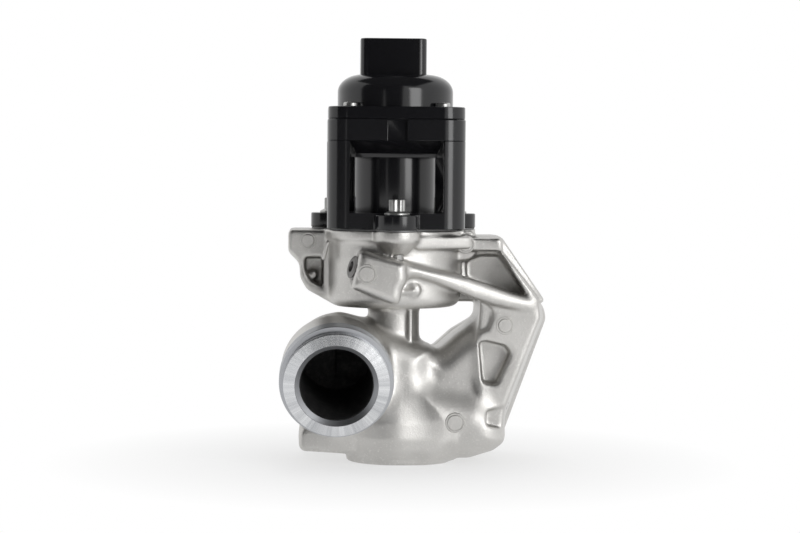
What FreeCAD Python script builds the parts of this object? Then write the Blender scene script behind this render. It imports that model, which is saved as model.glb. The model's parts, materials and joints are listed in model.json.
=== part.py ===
"""Electric exhaust gas recirculation valve: cast housing, poppet valve and brushless screw actuator.

Millimetres, +Z up. The origin is where the valve's axis meets the machined bottom face.
-Y is the side with the gas outlet spigot, +Y the side with the mounting face.
"""

import FreeCAD, Part
import math
import os

V = FreeCAD.Vector
UP = V(0, 0, 1)
DOWN = V(0, 0, -1)
RIGHT = V(1, 0, 0)
REAR = V(0, 1, 0)

# Thickness that a cutting shape stands proud of what it cuts
OVERCUT = 1.0

# Heights of the main faces
TOP_FACE_Z = 92.5
BOWL_BOTTOM_Z = 62.0
GASKET_T = 0.5
HOUSING_FLANGE_Z = 127.6
COVER_JOINT_Z = 136.0

# General clearances
FIT_GAP = 0.05
RUN_GAP = 0.04
SLIDE_GAP = 0.03
LASH = 0.3

# Cast housing
BOWL_STEP = 0.4
BOWL_WALL = 4.0
BOWL_FLOOR = 4.0
BOWL_EDGE_R = 4.5
RIM_STEP = 1.0
TOWER_R = 15.0
TOWER_BORE_R = 12.0
NECK_R = 10.2
NECK_TOP_FLARE = 2.0
NECK_RIB_X = 6.2
NECK_RIB_W = 2.8
NECK_RIB_H = 0.4
FLANGE_T = 4.0
CHAMBER_R = 22.0
CHAMBER_FOOT_R = 18.6
CHAMBER_FOOT_H = 3.0
CHAMBER_RISE = 4.5
CHAMBER_SHOULDER_Z = 16.0
CHAMBER_TOP_Z = 50.0
FOOT_STEP = 2.0
MOUNT_FACE_Y = 30.0
REAR_FLANGE_T = 8.0
COLUMN_FRONT_Y = -14.0
COLUMN_POCKET_DEPTH = 7.0
DUCT_FRONT_Y = -5.0
SUMP_FRONT_Y = -19.0
EAR_FRONT_Y = -5.0
EAR_POCKET_DEPTH = 11.0
FOOT_FRONT_Y = -16.0
RIGHT_TOP_Z = 89.5
ROOF_LEFT_X = 16.0
ROOF_T = 5.0
WING_RIGHT_X = 41.8
WEB_T = 8.0
WALL_SETBACK = 2.0

# Gas path
SPIGOT_X = -23.0
SPIGOT_FACE_Y = -40.0
SPIGOT_FACE_Z = 33.3
SPIGOT_TILT = 11.0
SPIGOT_BORE_R = 14.0
SPIGOT_BORE_DEPTH = 43.0
SPIGOT_LIP_R = 16.1
SPIGOT_LIP_H = 1.2
SPIGOT_RING_R = 20.4
SPIGOT_RING_CHAMFER = 0.7
SPIGOT_RING_LEN = 4.6
SPIGOT_GROOVE_R = 20.3
SPIGOT_GROOVE_W = 1.0
SPIGOT_COLLAR_R = 22.8
SPIGOT_COLLAR_LEN = 5.0
SPIGOT_COLLAR_CHAMFER = 0.8
SPIGOT_TUBE_R = 21.6
SPIGOT_TUBE_LEN = 14.0
SPIGOT_END_R = 17.6
SPIGOT_END_LEN = 18.0
SPIGOT_END_DOME = 5.0
SPIGOT_BORE_END = 2.0
LINK_R = 16.5
LINK_Y = -5.0
LINK_DROP = 1.5
BELLY_REAR_Y = 12.0
FOOT_WEB_REAR_Y = -2.0
CROSS_OUT_R = 8.0
CROSS_OUT_Z = 37.0
INLET_X = 34.0
INLET_Z = 24.0
INLET_R = 12.0
INLET_DEPTH = 31.0
CROSS_IN_R = 8.5
CROSS_IN_Z = 12.5
CROSS_IN_Y = 0.5
SEAT_BORE_R = 15.5
SEAT_TOP_Z = 28.0
UPPER_CHAMBER_R = 13.0
UPPER_CHAMBER_Z = 30.0
THROAT_R = 9.0
GUIDE_BORE_R = 5.0
GUIDE_STEP = 1.0
SHIELD_LIP_H = 0.5
GUIDE_BORE_Z = 45.5

# Bosses under the actuator's lugs
FUNNEL_TIP_R = 3.8
FUNNEL_WAIST_R = 5.0
FUNNEL_WAIST_H = 1.4
FUNNEL_ABOVE_TIP = 2.8
FUNNEL_STEP = 0.5
LUG_PAD_T = 6.0
LUG_BOSS_STEP = 2.5
LUG_BOSS_BELOW = 1.5
BOLT_HOLE_SPARE = 3.0

# Coolant drillings
ARM_START = V(-15.6, -33.5, 78.4)
ARM_END = V(53.5, -10.0, 57.8)
ARM_BOSS_R = 7.5
ARM_BOSS_LEN = 17.0
ARM_RIB_R = 4.3
ARM_BACKING_STEP = 4.0
ARM_GUSSET_FRONT_Y = -22.0
ARM_GUSSET_REAR_Y = -8.0
ARM_DRILL_END = 1.5
PORT_DRILL_STEP = 0.5
ARM_DRILL_R = 3.0
ARM_FEED_R = 3.0
ARM_FEED_STEP = 9.0
COOLANT_PORT_R = 4.0
COOLANT_PORT_DEPTH = 32.0
COOLANT_PORT_X = 52.0
COOLANT_PORT_Z = 57.5
BOWL_PORT_Z = 77.0
BOWL_PORT_BOSS_R = 8.0
PORT_GROOVE_R = 6.2
PORT_GROOVE_DEPTH = 2.0

# Threaded mounting holes in the rear face
MOUNT_HOLE_R = 3.0
MOUNT_HOLE_DEPTH = 14.0
MOUNT_HOLES = {
    "left": (-34.6, 86.0),
    "right": (53.0, 42.0),
    "foot": (-30.6, 7.0),
    "upper_right": (37.0, 83.0),
}

# Seat, guide and plugs
SEAT_H = 6.0
SEAT_THROAT_R = 11.5
SEAT_CONE = 1.2
PLUG_Z = 0.8
PLUG_H = 4.0
PLUG_WALL = 1.6
GUIDE_H = 15.0
GUIDE_BELOW = 1.0
SEAL_R = 7.0
SEAL_H = 3.5
SHIELD_T = 0.8
COOLANT_PLUG_R = 6.0
COOLANT_PLUG_OUT = 3.4
COOLANT_PLUG_IN = 7.0
COOLANT_PLUG_HEX = 5.0
COOLANT_PLUG_PITCH = 1.0
COOLANT_PLUG_THREAD = 0.35

# Poppet valve
STEM_R = 3.0
HEAD_R = 13.0
HEAD_EDGE = 2.0
HEAD_FLARE = 5.0
SEAT_GAP = 0.2
STEM_TOP_Z = 87.0
STEM_GROOVE_DEPTH = 0.5
STEM_GROOVE_W = 1.0
RETAINER_R = 10.6
RETAINER_T = 1.6
RETAINER_HUB_R = 5.6
RETAINER_Z = 82.4
COLLET_H = 3.6

# Return spring
SPRING_WIRE_R = 0.9
SPRING_MEAN_R = 9.2
SPRING_TURNS = 4.5

# Actuator housing
BODY_HALF = 27.0
BODY_CORNER_R = 9.0
BODY_FLOOR = 5.0
BAND_TOP_Z = 99.4
WINDOW_HALF = 18.4
REAR_WINDOW_HALF = 15.0
WINDOW_DEPTH = 24.0
WINDOW_LIP_Z = 122.6
LUG_H = 5.8
LUG_ROOT_STEP = 1.0
LUG_ROOT_SETBACK = 2.0
LUG_R = 8.5
LUG_REACH = 28.2
LUG_SIDE_X = 24.8
LUG_SIDE_Y = 14.0
NOTCH_HALF = 4.0
NOTCH_DEPTH = 1.5
CAN_R = 16.3
CAN_WALL = 1.2
CAN_TOP_Z = 124.0

# Motor
CORE_Z = 102.5
CORE_H = 18.0
CORE_YOKE = 2.2
POLES = 6
TOOTH_HALF = 1.6
SHOE_HALF = 3.4
SHOE_T = 1.2
AIR_GAP = 0.5
COIL_T = 1.3
COIL_OVERHANG = 1.6
MAGNET_R = 8.0
MAGNET_WALL = 2.4
MAGNET_Z = 101.5
MAGNET_H = 20.0
JOURNAL_R = 5.0
JOURNAL_STEP = 1.0
SLEEVE_BOTTOM_Z = 98.0
SLEEVE_TOP_Z = 131.5
BEARING_OUTER_R = 9.5
BEARING_W = 5.0
BEARING_RING_T = 1.2
BALL_R = 1.15
BALL_COUNT = 9
CAGE_HALF_T = 0.35
CAGE_HALF_W = 1.6
BRACKET_T = 3.0
BRACKET_LIP_T = 0.9
BRACKET_HUB_WALL = 1.6
MOTOR_BOSS_R = 17.0
MOTOR_BOSS_T = 3.0
SNOUT_R = 11.6
SNOUT_CHAMFER = 1.0
SNOUT_BOTTOM_Z = 89.5
BUSH_WALL = 1.5
BOSS_HUB_WALL = 1.5
BUSH_BOTTOM_Z = 90.0
JOURNAL_BUSH_H = 4.0

# Screw shaft: one coarse start
SCREW_R = 4.0
SCREW_CORE_R = 3.1
SCREW_LEAD = 4.0
SCREW_BOTTOM_Z = 106.0
SCREW_TURNS = 5.0
SCREW_CORE_TOP_Z = 129.0
SCREW_TAIL_R = 3.0
SCREW_NOSE_R = 2.4
SCREW_TOP_END_Z = 133.5
THREAD_ROOT_HALF = 1.15
THREAD_TIP_HALF = 0.7
THREAD_SINK = 0.2
THREAD_GAP = 0.08
NUT_TURNS = 2.0
FLAT_DEPTH = 0.6

# Cover, dome and connector
COVER_T = 4.9
DOME_R = 23.0
DOME_TOP_Z = 154.0
DOME_SHOULDER_W = 9.5
DOME_SHOULDER_H = 7.0
DOME_WALL = 2.2
CONNECTOR_X = -1.0
CONNECTOR_W = 26.2
CONNECTOR_D = 17.0
CONNECTOR_CORNER_R = 3.2
CONNECTOR_TOP_Z = 168.2
CONNECTOR_WALL = 1.8
CONNECTOR_FLOOR = 2.6
PIN_COLUMN_COUNT = 2
PIN_ROW_COUNT = 3
PIN_PITCH_X = 16.0
PIN_PITCH_Y = 4.2
PIN_W = 1.5
PIN_T = 0.8
PIN_TOP_Z = 164.0
COVER_SCREW_R = 1.5
COVER_SCREW_HEAD_R = 2.9
COVER_SCREW_HEAD_H = 1.7
COVER_SCREW_LEN = 12.0
COVER_SCREW_PITCH = 18.0
COVER_SEAL_R = 20.5
COVER_SEAL_T = 1.0

# Position sensor
PLUNGER_R = 2.4
PLUNGER_COLLAR_T = 1.4
PLUNGER_COLLAR_Z = 138.0
PLUNGER_TOP_Z = 148.5
SENSOR_GUIDE_WALL = 1.5
SENSOR_GUIDE_Z = 134.5
SENSOR_MAGNET_R = 3.6
SENSOR_MAGNET_H = 3.0
BOARD_R = 17.0
BOARD_T = 1.2
BOARD_FLAT = 3.5
BOARD_Z = 145.6
BOARD_HOLE_R = 6.4
BOARD_POST_R = 1.6
CHIP_SIZE = 3.2
CHIP_H = 1.1
SENSOR_SPRING_WIRE_R = 0.3
SENSOR_SPRING_R = 3.1
SENSOR_SPRING_TURNS = 6.0

# Bolts that hold the actuator to the housing
BOLT_R = 2.5
BOLT_HEAD_R = 3.2
BOLT_HEAD_H = 5.0
BOLT_FLANGE_R = 4.9
BOLT_FLANGE_H = 1.0
BOLT_LOBE_R = 0.75
BOLT_TIP_Z = 80.6
BOLT_HOLE_GAP = 0.3
SPOT_FACE_GAP = 0.4
SPOT_FACE_H = 11.0
GASKET_STEP = 0.3

# Worked out from the sizes above
BODY_BOTTOM_Z = TOP_FACE_Z + GASKET_T
BOWL_R = BODY_HALF - BOWL_STEP
BOWL_INNER_R = BOWL_R - BOWL_WALL
SPRING_SEAT_Z = BOWL_BOTTOM_Z + BOWL_FLOOR
SEAT_BOTTOM_Z = SEAT_TOP_Z - SEAT_H
LUG_POINTS = [(0.0, -LUG_REACH), (-LUG_SIDE_X, LUG_SIDE_Y), (LUG_SIDE_X, LUG_SIDE_Y)]
LUG_TOP_Z = BODY_BOTTOM_Z + LUG_H
COVER_TOP_Z = COVER_JOINT_Z + COVER_T
BEARING_Z = CAN_TOP_Z + BRACKET_LIP_T
BOSS_HUB_R = JOURNAL_R + RUN_GAP + BUSH_WALL + BOSS_HUB_WALL
FLOOR_HOLE_R = BOSS_HUB_R + LASH
NUT_BOTTOM_Z = SCREW_BOTTOM_Z + 1.5 * SCREW_LEAD
CAN_BOTTOM_Z = BODY_BOTTOM_Z + BODY_FLOOR
SPIGOT_LINE = V(0, math.cos(math.radians(SPIGOT_TILT)), math.sin(math.radians(SPIGOT_TILT)))
SPIGOT_FACE = V(SPIGOT_X, SPIGOT_FACE_Y, SPIGOT_FACE_Z)
ARM_LINE = (ARM_END - ARM_START).normalize()
REAR_FLANGE_Y = MOUNT_FACE_Y - REAR_FLANGE_T
RIB_END_Y = MOUNT_FACE_Y - REAR_FLANGE_T / 2
SCREW_SPOTS = [
    (sx * COVER_SCREW_PITCH, sy * COVER_SCREW_PITCH) for sx in (-1, 1) for sy in (-1, 1)
]


# Outlines of the casting seen from the front: x, z and the radius of each corner
EAR_OUTLINE = [
    (-42.3, TOP_FACE_Z - 0.3, 1.5),
    (-42.3, 83.4, 3.0),
    (-37.9, 79.0, 4.0),
    (-37.4, 73.0, 5.0),
    (-34.8, 68.4, 5.0),
    (-27.0, BOWL_BOTTOM_Z + 2.2, 4.0),
    (-20.0, BOWL_BOTTOM_Z + 3.0, 0.5),
    (-20.0, TOP_FACE_Z - 0.3, 0.5),
]
EAR_POCKET = [
    (-35.9, 80.6, 0.8),
    (-28.8, 80.6, 0.8),
    (-28.8, 67.6, 0.5),
    (-33.4, 70.4, 2.5),
    (-35.9, 74.0, 2.0),
]
WING_WEB = [
    (20.0, RIGHT_TOP_Z, 0.5),
    (WING_RIGHT_X, RIGHT_TOP_Z, 0.8),
    (62.8, 61.0, 2.0),
    (20.0, 61.0, 0.5),
]
WING_WALL = [
    (WING_RIGHT_X - 4.3, RIGHT_TOP_Z, 0.3),
    (WING_RIGHT_X, RIGHT_TOP_Z, 1.0),
    (WING_RIGHT_X + 1.6, 83.0, 2.0),
    (62.8, 61.0, 1.5),
    (57.0, 62.0, 1.0),
]
COLUMN_OUTLINE = [
    (34.2, 66.0, 1.5),
    (58.6, 64.0, 3.0),
    (62.9, 60.6, 3.0),
    (63.8, 55.4, 4.0),
    (45.6, 7.2, 3.0),
    (41.0, 6.6, 1.5),
    (37.0, 14.0, 4.0),
    (33.8, 30.0, 8.0),
    (33.0, 46.0, 8.0),
]
COLUMN_POCKET = [
    (33.6, 47.9, 1.0),
    (44.9, 46.6, 2.5),
    (46.6, 43.4, 2.5),
    (41.2, 31.0, 3.0),
    (35.6, 30.8, 2.0),
]
DUCT_OUTLINE = [
    (12.0, 45.0, 0.5),
    (17.0, 44.4, 3.0),
    (24.4, 51.0, 8.0),
    (36.0, 59.0, 1.0),
    (40.0, 40.0, 1.0),
    (40.0, 10.0, 1.0),
    (12.0, 10.0, 0.5),
]
SUMP_OUTLINE = [
    (12.0, FOOT_STEP, 0.5),
    (30.0, FOOT_STEP + 0.2, 8.0),
    (39.4, 5.4, 4.0),
    (43.2, 9.0, 2.0),
    (42.0, 22.0, 4.0),
    (33.0, 30.0, 8.0),
    (12.0, 30.0, 0.5),
]
REAR_FLANGE_OUTLINE = [
    (10.0, FOOT_STEP, 3.0),
    (45.0, 4.8, 3.0),
    (63.8, 55.5, 4.0),
    (62.5, 61.0, 3.0),
    (36.0, 62.0, 0.5),
    (36.0, 58.0, 4.0),
    (24.4, 51.0, 6.0),
    (17.0, 44.4, 4.0),
    (10.0, 42.0, 3.0),
]
BELLY_OUTLINE = [
    (-34.5, 14.0, 5.0),
    (-24.0, 6.0, 6.0),
    (0.0, 3.0, 1.0),
    (0.0, 44.0, 2.0),
    (-20.0, 50.0, 8.0),
    (-36.0, 38.0, 8.0),
]
FOOT_OUTLINE = [
    (-36.4, FOOT_STEP + 0.4, 1.5),
    (-16.0, FOOT_STEP + 0.4, 0.5),
    (-16.0, 14.0, 0.5),
    (-36.4, 14.0, 3.0),
]
FOOT_WEB_OUTLINE = [
    (-36.4, FOOT_STEP + 2.0, 1.0),
    (-14.0, FOOT_STEP + 2.0, 0.5),
    (-14.0, 26.0, 0.5),
    (-38.0, 26.0, 3.0),
]
ARM_BACKING = [
    (-14.6, 84.8, 1.0),
    (2.6, 79.8, 1.0),
    (3.4, 72.0, 2.0),
    (-1.6, 65.8, 2.0),
    (-18.0, 71.0, 1.0),
]
ARM_GUSSET = [
    (2.0, 79.6, 0.5),
    (2.0, 73.4, 2.0),
    (30.0, 64.9, 3.0),
    (46.0, 60.0, 0.5),
    (46.0, 67.0, 0.5),
    (30.0, 71.8, 3.0),
]

# Half section of the gas chamber between its shoulder and the neck: radius and z
CHAMBER_BELL = [(20.0, 24.0), (16.6, 31.0), (14.2, 38.0), (12.4, 44.0)]

# Ejector pads: x, face's y, z and radius
PADS = [
    (-34.4, EAR_FRONT_Y, 87.4, 2.6),
    (26.8, COLUMN_FRONT_Y, 87.2, 2.8),
    (43.6, COLUMN_FRONT_Y, 55.0, 3.0),
    (24.4, SUMP_FRONT_Y, 17.0, 3.6),
]
PAD_H = 0.4


def rod(radius, start, direction, length):
    """A cylinder from a point, along a direction."""
    return Part.makeCylinder(radius, length, start, direction)


def tube(outer, inner, z, height, x=0.0, y=0.0):
    """A vertical tube."""
    return rod(outer, V(x, y, z), UP, height).cut(rod(inner, V(x, y, z), UP, height))


def block(x0, x1, y0, y1, z0, z1):
    """A box between two corners."""
    return Part.makeBox(x1 - x0, y1 - y0, z1 - z0, V(x0, y0, z0))


def rounded_wire(points, radii):
    """A closed wire through corner points, each corner rounded by a tangent arc of its radius."""
    count = len(points)
    ends = []
    edges = []
    for i in range(count):
        corner = points[i]
        radius = radii if isinstance(radii, (int, float)) else radii[i]
        before = (points[i - 1] - corner).normalize()
        after = (points[(i + 1) % count] - corner).normalize()
        half = before.getAngle(after) / 2
        reach = radius / math.tan(half)
        middle = (before + after).normalize() * (radius / math.sin(half) - radius)
        start = corner + before * reach
        end = corner + after * reach
        if radius > 0:
            edges.append(Part.Arc(start, corner + middle, end).toShape())
        ends.append((start, end))
    for i in range(count):
        here = ends[i][1]
        there = ends[(i + 1) % count][0]
        if here.distanceToPoint(there) > 1e-6:
            edges.append(Part.makeLine(here, there))
    return Part.Wire(Part.__sortEdges__(edges))


def plate(outline, y0, y1):
    """An outline of (x, z, corner radius), as a solid between two depths."""
    wire = rounded_wire([V(x, y0, z) for x, z, r in outline], [r for x, z, r in outline])
    return Part.Face(wire).extrude(V(0, y1 - y0, 0))


def slab(outline, radii, z0, z1):
    """An outline of (x, y) corners, rounded, as a solid between two heights."""
    wire = rounded_wire([V(x, y, z0) for x, y in outline], radii)
    return Part.Face(wire).extrude(V(0, 0, z1 - z0))


def turned(profile, origin=V(0, 0, 0), line=UP):
    """A solid turned from (radius, distance) points about a line through origin."""
    points = [V(r, 0, d) for r, d in profile]
    face = Part.Face(Part.makePolygon(points + points[:1]))
    solid = face.revolve(V(0, 0, 0), UP, 360)
    solid.Placement = FreeCAD.Placement(origin, FreeCAD.Rotation(UP, line))
    return solid


def rounded_square(half, corner, z0, z1):
    """A square column with round corners."""
    corners = [(-half, -half), (half, -half), (half, half), (-half, half)]
    return slab(corners, corner, z0, z1)


def joined(shapes):
    """One solid from shapes that overlap."""
    whole = shapes[0].multiFuse(shapes[1:])
    return whole.removeSplitter()


def coil(wire_r, mean_r, z0, z1, turns):
    """A helical spring whose wire lies between two heights."""
    height = z1 - z0 - 2 * wire_r
    helix = Part.makeHelix(height / turns, height, mean_r)
    path = Part.Wire(helix.Edges)
    path.translate(V(0, 0, z0 + wire_r))
    start = V(mean_r, 0, z0 + wire_r)
    rise = V(0, 2 * math.pi * mean_r, height / turns)
    ring = Part.Wire(Part.makeCircle(wire_r, start, rise))
    return Part.makeSolid(path.makePipeShell([ring], True, True))


def screw_rib(inner_r, outer_r, root_half, tip_half, lead, z0, turns):
    """A helical rib whose section narrows from the inner radius to the outer one."""
    helix = Part.makeHelix(lead, lead * turns, inner_r)
    path = Part.Wire(helix.Edges)
    path.translate(V(0, 0, z0))
    corners = [
        V(inner_r, 0, z0 - root_half),
        V(outer_r, 0, z0 - tip_half),
        V(outer_r, 0, z0 + tip_half),
        V(inner_r, 0, z0 + root_half),
    ]
    section = Part.makePolygon(corners + corners[:1])
    return Part.makeSolid(path.makePipeShell([section], True, True))


def hexagon(across, start, line, length):
    """A six-sided prism of a width across its flats."""
    reach = across / math.sqrt(3)
    corners = [
        V(reach * math.cos(math.pi * k / 3), reach * math.sin(math.pi * k / 3), 0)
        for k in range(6)
    ]
    prism = Part.Face(Part.makePolygon(corners + corners[:1])).extrude(V(0, 0, length))
    prism.Placement = FreeCAD.Placement(start, FreeCAD.Rotation(UP, line))
    return prism


# Cast housing


def bowl():
    """Round bowl under the actuator, with a rounded lower edge and the flange around its mouth."""
    outer = rod(BOWL_R, V(0, 0, BOWL_BOTTOM_Z), UP, TOP_FACE_Z - BOWL_BOTTOM_Z)
    bottom = [e for e in outer.Edges if abs(e.BoundBox.ZMax - BOWL_BOTTOM_Z) < 1e-6]
    outer = outer.makeFillet(BOWL_EDGE_R, bottom)
    rim = rod(BOWL_R + RIM_STEP, V(0, 0, TOP_FACE_Z - FLANGE_T), UP, FLANGE_T)
    return [outer, rim]


def bolt_bosses():
    """Tapering bosses under the three lugs; the front one narrows like a funnel."""
    x, y = LUG_POINTS[0]
    tip_z = BOLT_TIP_Z + FUNNEL_ABOVE_TIP
    funnel = turned(
        [
            (0, tip_z),
            (FUNNEL_TIP_R, tip_z),
            (FUNNEL_WAIST_R, tip_z + FUNNEL_WAIST_H),
            (LUG_R + FUNNEL_STEP - 0.1, TOP_FACE_Z - FLANGE_T),
            (LUG_R + FUNNEL_STEP, TOP_FACE_Z),
            (0, TOP_FACE_Z),
        ],
        V(x, y, 0),
    )
    found = [funnel]
    for x, y in LUG_POINTS[1:]:
        boss_z = BOLT_TIP_Z - LUG_BOSS_BELOW
        found.append(rod(LUG_R, V(x, y, TOP_FACE_Z - LUG_PAD_T), UP, LUG_PAD_T))
        found.append(rod(LUG_R - LUG_BOSS_STEP, V(x, y, boss_z), UP, TOP_FACE_Z - boss_z))
    return found


def left_ear():
    """Mounting ear on the left, with its weight-saving pocket cut from the front."""
    ear = plate(EAR_OUTLINE, EAR_FRONT_Y, MOUNT_FACE_Y)
    return ear.cut(plate(EAR_POCKET, EAR_FRONT_Y - OVERCUT, EAR_FRONT_Y + EAR_POCKET_DEPTH))


def right_wing():
    """Box on the right: roof, recessed web and slanting wall."""
    roof = block(ROOF_LEFT_X, WING_RIGHT_X, COLUMN_FRONT_Y, MOUNT_FACE_Y, RIGHT_TOP_Z - ROOF_T, RIGHT_TOP_Z)
    web = plate(WING_WEB, REAR_FLANGE_Y - WEB_T, MOUNT_FACE_Y)
    wall = plate(WING_WALL, COLUMN_FRONT_Y + WALL_SETBACK, MOUNT_FACE_Y)
    return [roof, web, wall]


def right_column():
    """Column that joins the arm to the gas chamber and carries the rear flange."""
    column = plate(COLUMN_OUTLINE, COLUMN_FRONT_Y, MOUNT_FACE_Y)
    pocket = plate(COLUMN_POCKET, COLUMN_FRONT_Y - OVERCUT, COLUMN_FRONT_Y + COLUMN_POCKET_DEPTH)
    duct = plate(DUCT_OUTLINE, DUCT_FRONT_Y, RIB_END_Y)
    sump = plate(SUMP_OUTLINE, SUMP_FRONT_Y, RIB_END_Y)
    flange = plate(REAR_FLANGE_OUTLINE, REAR_FLANGE_Y, MOUNT_FACE_Y)
    return [column.cut(pocket), duct, sump, flange]


def gas_chamber():
    """Round chamber on the valve's axis, flaring down from the neck like a bell."""
    flare_z = BOWL_BOTTOM_Z - NECK_TOP_FLARE
    into_bowl = BOWL_BOTTOM_Z + OVERCUT
    profile = [
        (0, 0),
        (CHAMBER_FOOT_R, 0),
        (CHAMBER_FOOT_R, CHAMBER_FOOT_H),
        (CHAMBER_R, CHAMBER_FOOT_H + CHAMBER_RISE),
        (CHAMBER_R, CHAMBER_SHOULDER_Z),
    ]
    profile += CHAMBER_BELL
    profile += [
        (NECK_R, CHAMBER_TOP_Z),
        (NECK_R, flare_z),
        (NECK_R + NECK_TOP_FLARE, BOWL_BOTTOM_Z),
        (NECK_R + NECK_TOP_FLARE, into_bowl),
        (0, into_bowl),
    ]
    rib_x = NECK_RIB_X - NECK_RIB_W / 2
    rib = block(rib_x, rib_x + NECK_RIB_W, -NECK_R - NECK_RIB_H, 0, CHAMBER_BELL[-1][1], into_bowl)
    return [turned(profile), rib]


def spigot():
    """Outlet pipe: machined ring, collar and the cast tube behind them."""
    t1 = SPIGOT_RING_LEN
    t2 = t1 + SPIGOT_GROOVE_W
    t3 = t2 + SPIGOT_COLLAR_LEN
    t4 = t3 + SPIGOT_TUBE_LEN
    t5 = t4 + SPIGOT_END_LEN
    profile = [
        (0, 0),
        (SPIGOT_RING_R, 0),
        (SPIGOT_RING_R + SPIGOT_RING_CHAMFER, SPIGOT_RING_CHAMFER),
        (SPIGOT_RING_R + SPIGOT_RING_CHAMFER, t1),
        (SPIGOT_GROOVE_R, t1),
        (SPIGOT_GROOVE_R, t2),
        (SPIGOT_COLLAR_R - SPIGOT_COLLAR_CHAMFER, t2),
        (SPIGOT_COLLAR_R, t2 + SPIGOT_COLLAR_CHAMFER),
        (SPIGOT_COLLAR_R, t3),
        (SPIGOT_TUBE_R, t3 + SPIGOT_COLLAR_R - SPIGOT_TUBE_R),
        (SPIGOT_TUBE_R, t4),
        (SPIGOT_END_R, t5),
        (SPIGOT_END_R - SPIGOT_END_DOME, t5 + SPIGOT_END_DOME),
        (0, t5 + SPIGOT_END_DOME),
    ]
    pipe = turned(profile, SPIGOT_FACE, SPIGOT_LINE)
    link = rod(LINK_R, V(SPIGOT_X, LINK_Y, CROSS_OUT_Z - LINK_DROP), RIGHT, -SPIGOT_X)
    belly = plate(BELLY_OUTLINE, COLUMN_FRONT_Y, BELLY_REAR_Y)
    return [pipe, link, belly]


def left_foot():
    """Mounting foot at the lower left and the web above it."""
    foot = plate(FOOT_OUTLINE, FOOT_FRONT_Y, MOUNT_FACE_Y)
    web = plate(FOOT_WEB_OUTLINE, COLUMN_FRONT_Y, FOOT_WEB_REAR_Y)
    return [foot, web]


def coolant_arm():
    """Boss and rib around the long coolant drilling, and the block that joins the boss to the bowl."""
    boss = rod(ARM_BOSS_R, ARM_START, ARM_LINE, ARM_BOSS_LEN)
    rib = rod(ARM_RIB_R, ARM_START, ARM_LINE, (ARM_END - ARM_START).Length)
    backing = plate(ARM_BACKING, ARM_START.y + ARM_BACKING_STEP, FOOT_FRONT_Y)
    gusset = plate(ARM_GUSSET, ARM_GUSSET_FRONT_Y, ARM_GUSSET_REAR_Y)
    return [boss, rib, backing, gusset]


def rear_port_boss():
    """Boss behind the bowl for its coolant port."""
    start = V(0, TOWER_R, BOWL_PORT_Z)
    return [rod(BOWL_PORT_BOSS_R, start, REAR, MOUNT_FACE_Y - TOWER_R)]


def ejector_pads():
    """Low round pads that the ejector pins leave on the front of the casting."""
    return [rod(r, V(x, y - PAD_H, z), REAR, PAD_H + OVERCUT) for x, y, z, r in PADS]


def gas_passages():
    """Spaces that the exhaust gas flows through, and the seat's bore."""
    valve_bore = turned(
        [
            (0, -OVERCUT),
            (SEAT_BORE_R, -OVERCUT),
            (SEAT_BORE_R, SEAT_TOP_Z),
            (UPPER_CHAMBER_R, SEAT_TOP_Z),
            (UPPER_CHAMBER_R, UPPER_CHAMBER_Z),
            (THROAT_R, CROSS_OUT_Z + 1.0),
            (GUIDE_BORE_R + GUIDE_STEP, GUIDE_BORE_Z - SHIELD_LIP_H),
            (GUIDE_BORE_R + GUIDE_STEP, GUIDE_BORE_Z),
            (GUIDE_BORE_R, GUIDE_BORE_Z),
            (GUIDE_BORE_R, SPRING_SEAT_Z - SEAL_H),
            (SEAL_R, SPRING_SEAT_Z - SEAL_H),
            (SEAL_R, SPRING_SEAT_Z),
            (TOWER_BORE_R, SPRING_SEAT_Z),
            (TOWER_BORE_R, TOP_FACE_Z + OVERCUT),
            (0, TOP_FACE_Z + OVERCUT),
        ]
    )
    outlet = turned(
        [
            (0, -OVERCUT),
            (SPIGOT_LIP_R + OVERCUT, -OVERCUT),
            (SPIGOT_LIP_R, 0),
            (SPIGOT_BORE_R, SPIGOT_LIP_H),
            (SPIGOT_BORE_R, SPIGOT_BORE_DEPTH),
            (SPIGOT_BORE_R - SPIGOT_BORE_END, SPIGOT_BORE_DEPTH + SPIGOT_BORE_END),
            (0, SPIGOT_BORE_DEPTH + SPIGOT_BORE_END),
        ],
        SPIGOT_FACE,
        SPIGOT_LINE,
    )
    cross_out = rod(CROSS_OUT_R, V(SPIGOT_X, 0, CROSS_OUT_Z), RIGHT, -SPIGOT_X)
    inlet = rod(INLET_R, V(INLET_X, MOUNT_FACE_Y - INLET_DEPTH, INLET_Z), REAR, INLET_DEPTH + OVERCUT)
    cross_in = rod(CROSS_IN_R, V(0, CROSS_IN_Y, CROSS_IN_Z), RIGHT, INLET_X)
    return [valve_bore, outlet, cross_out, inlet, cross_in]


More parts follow.
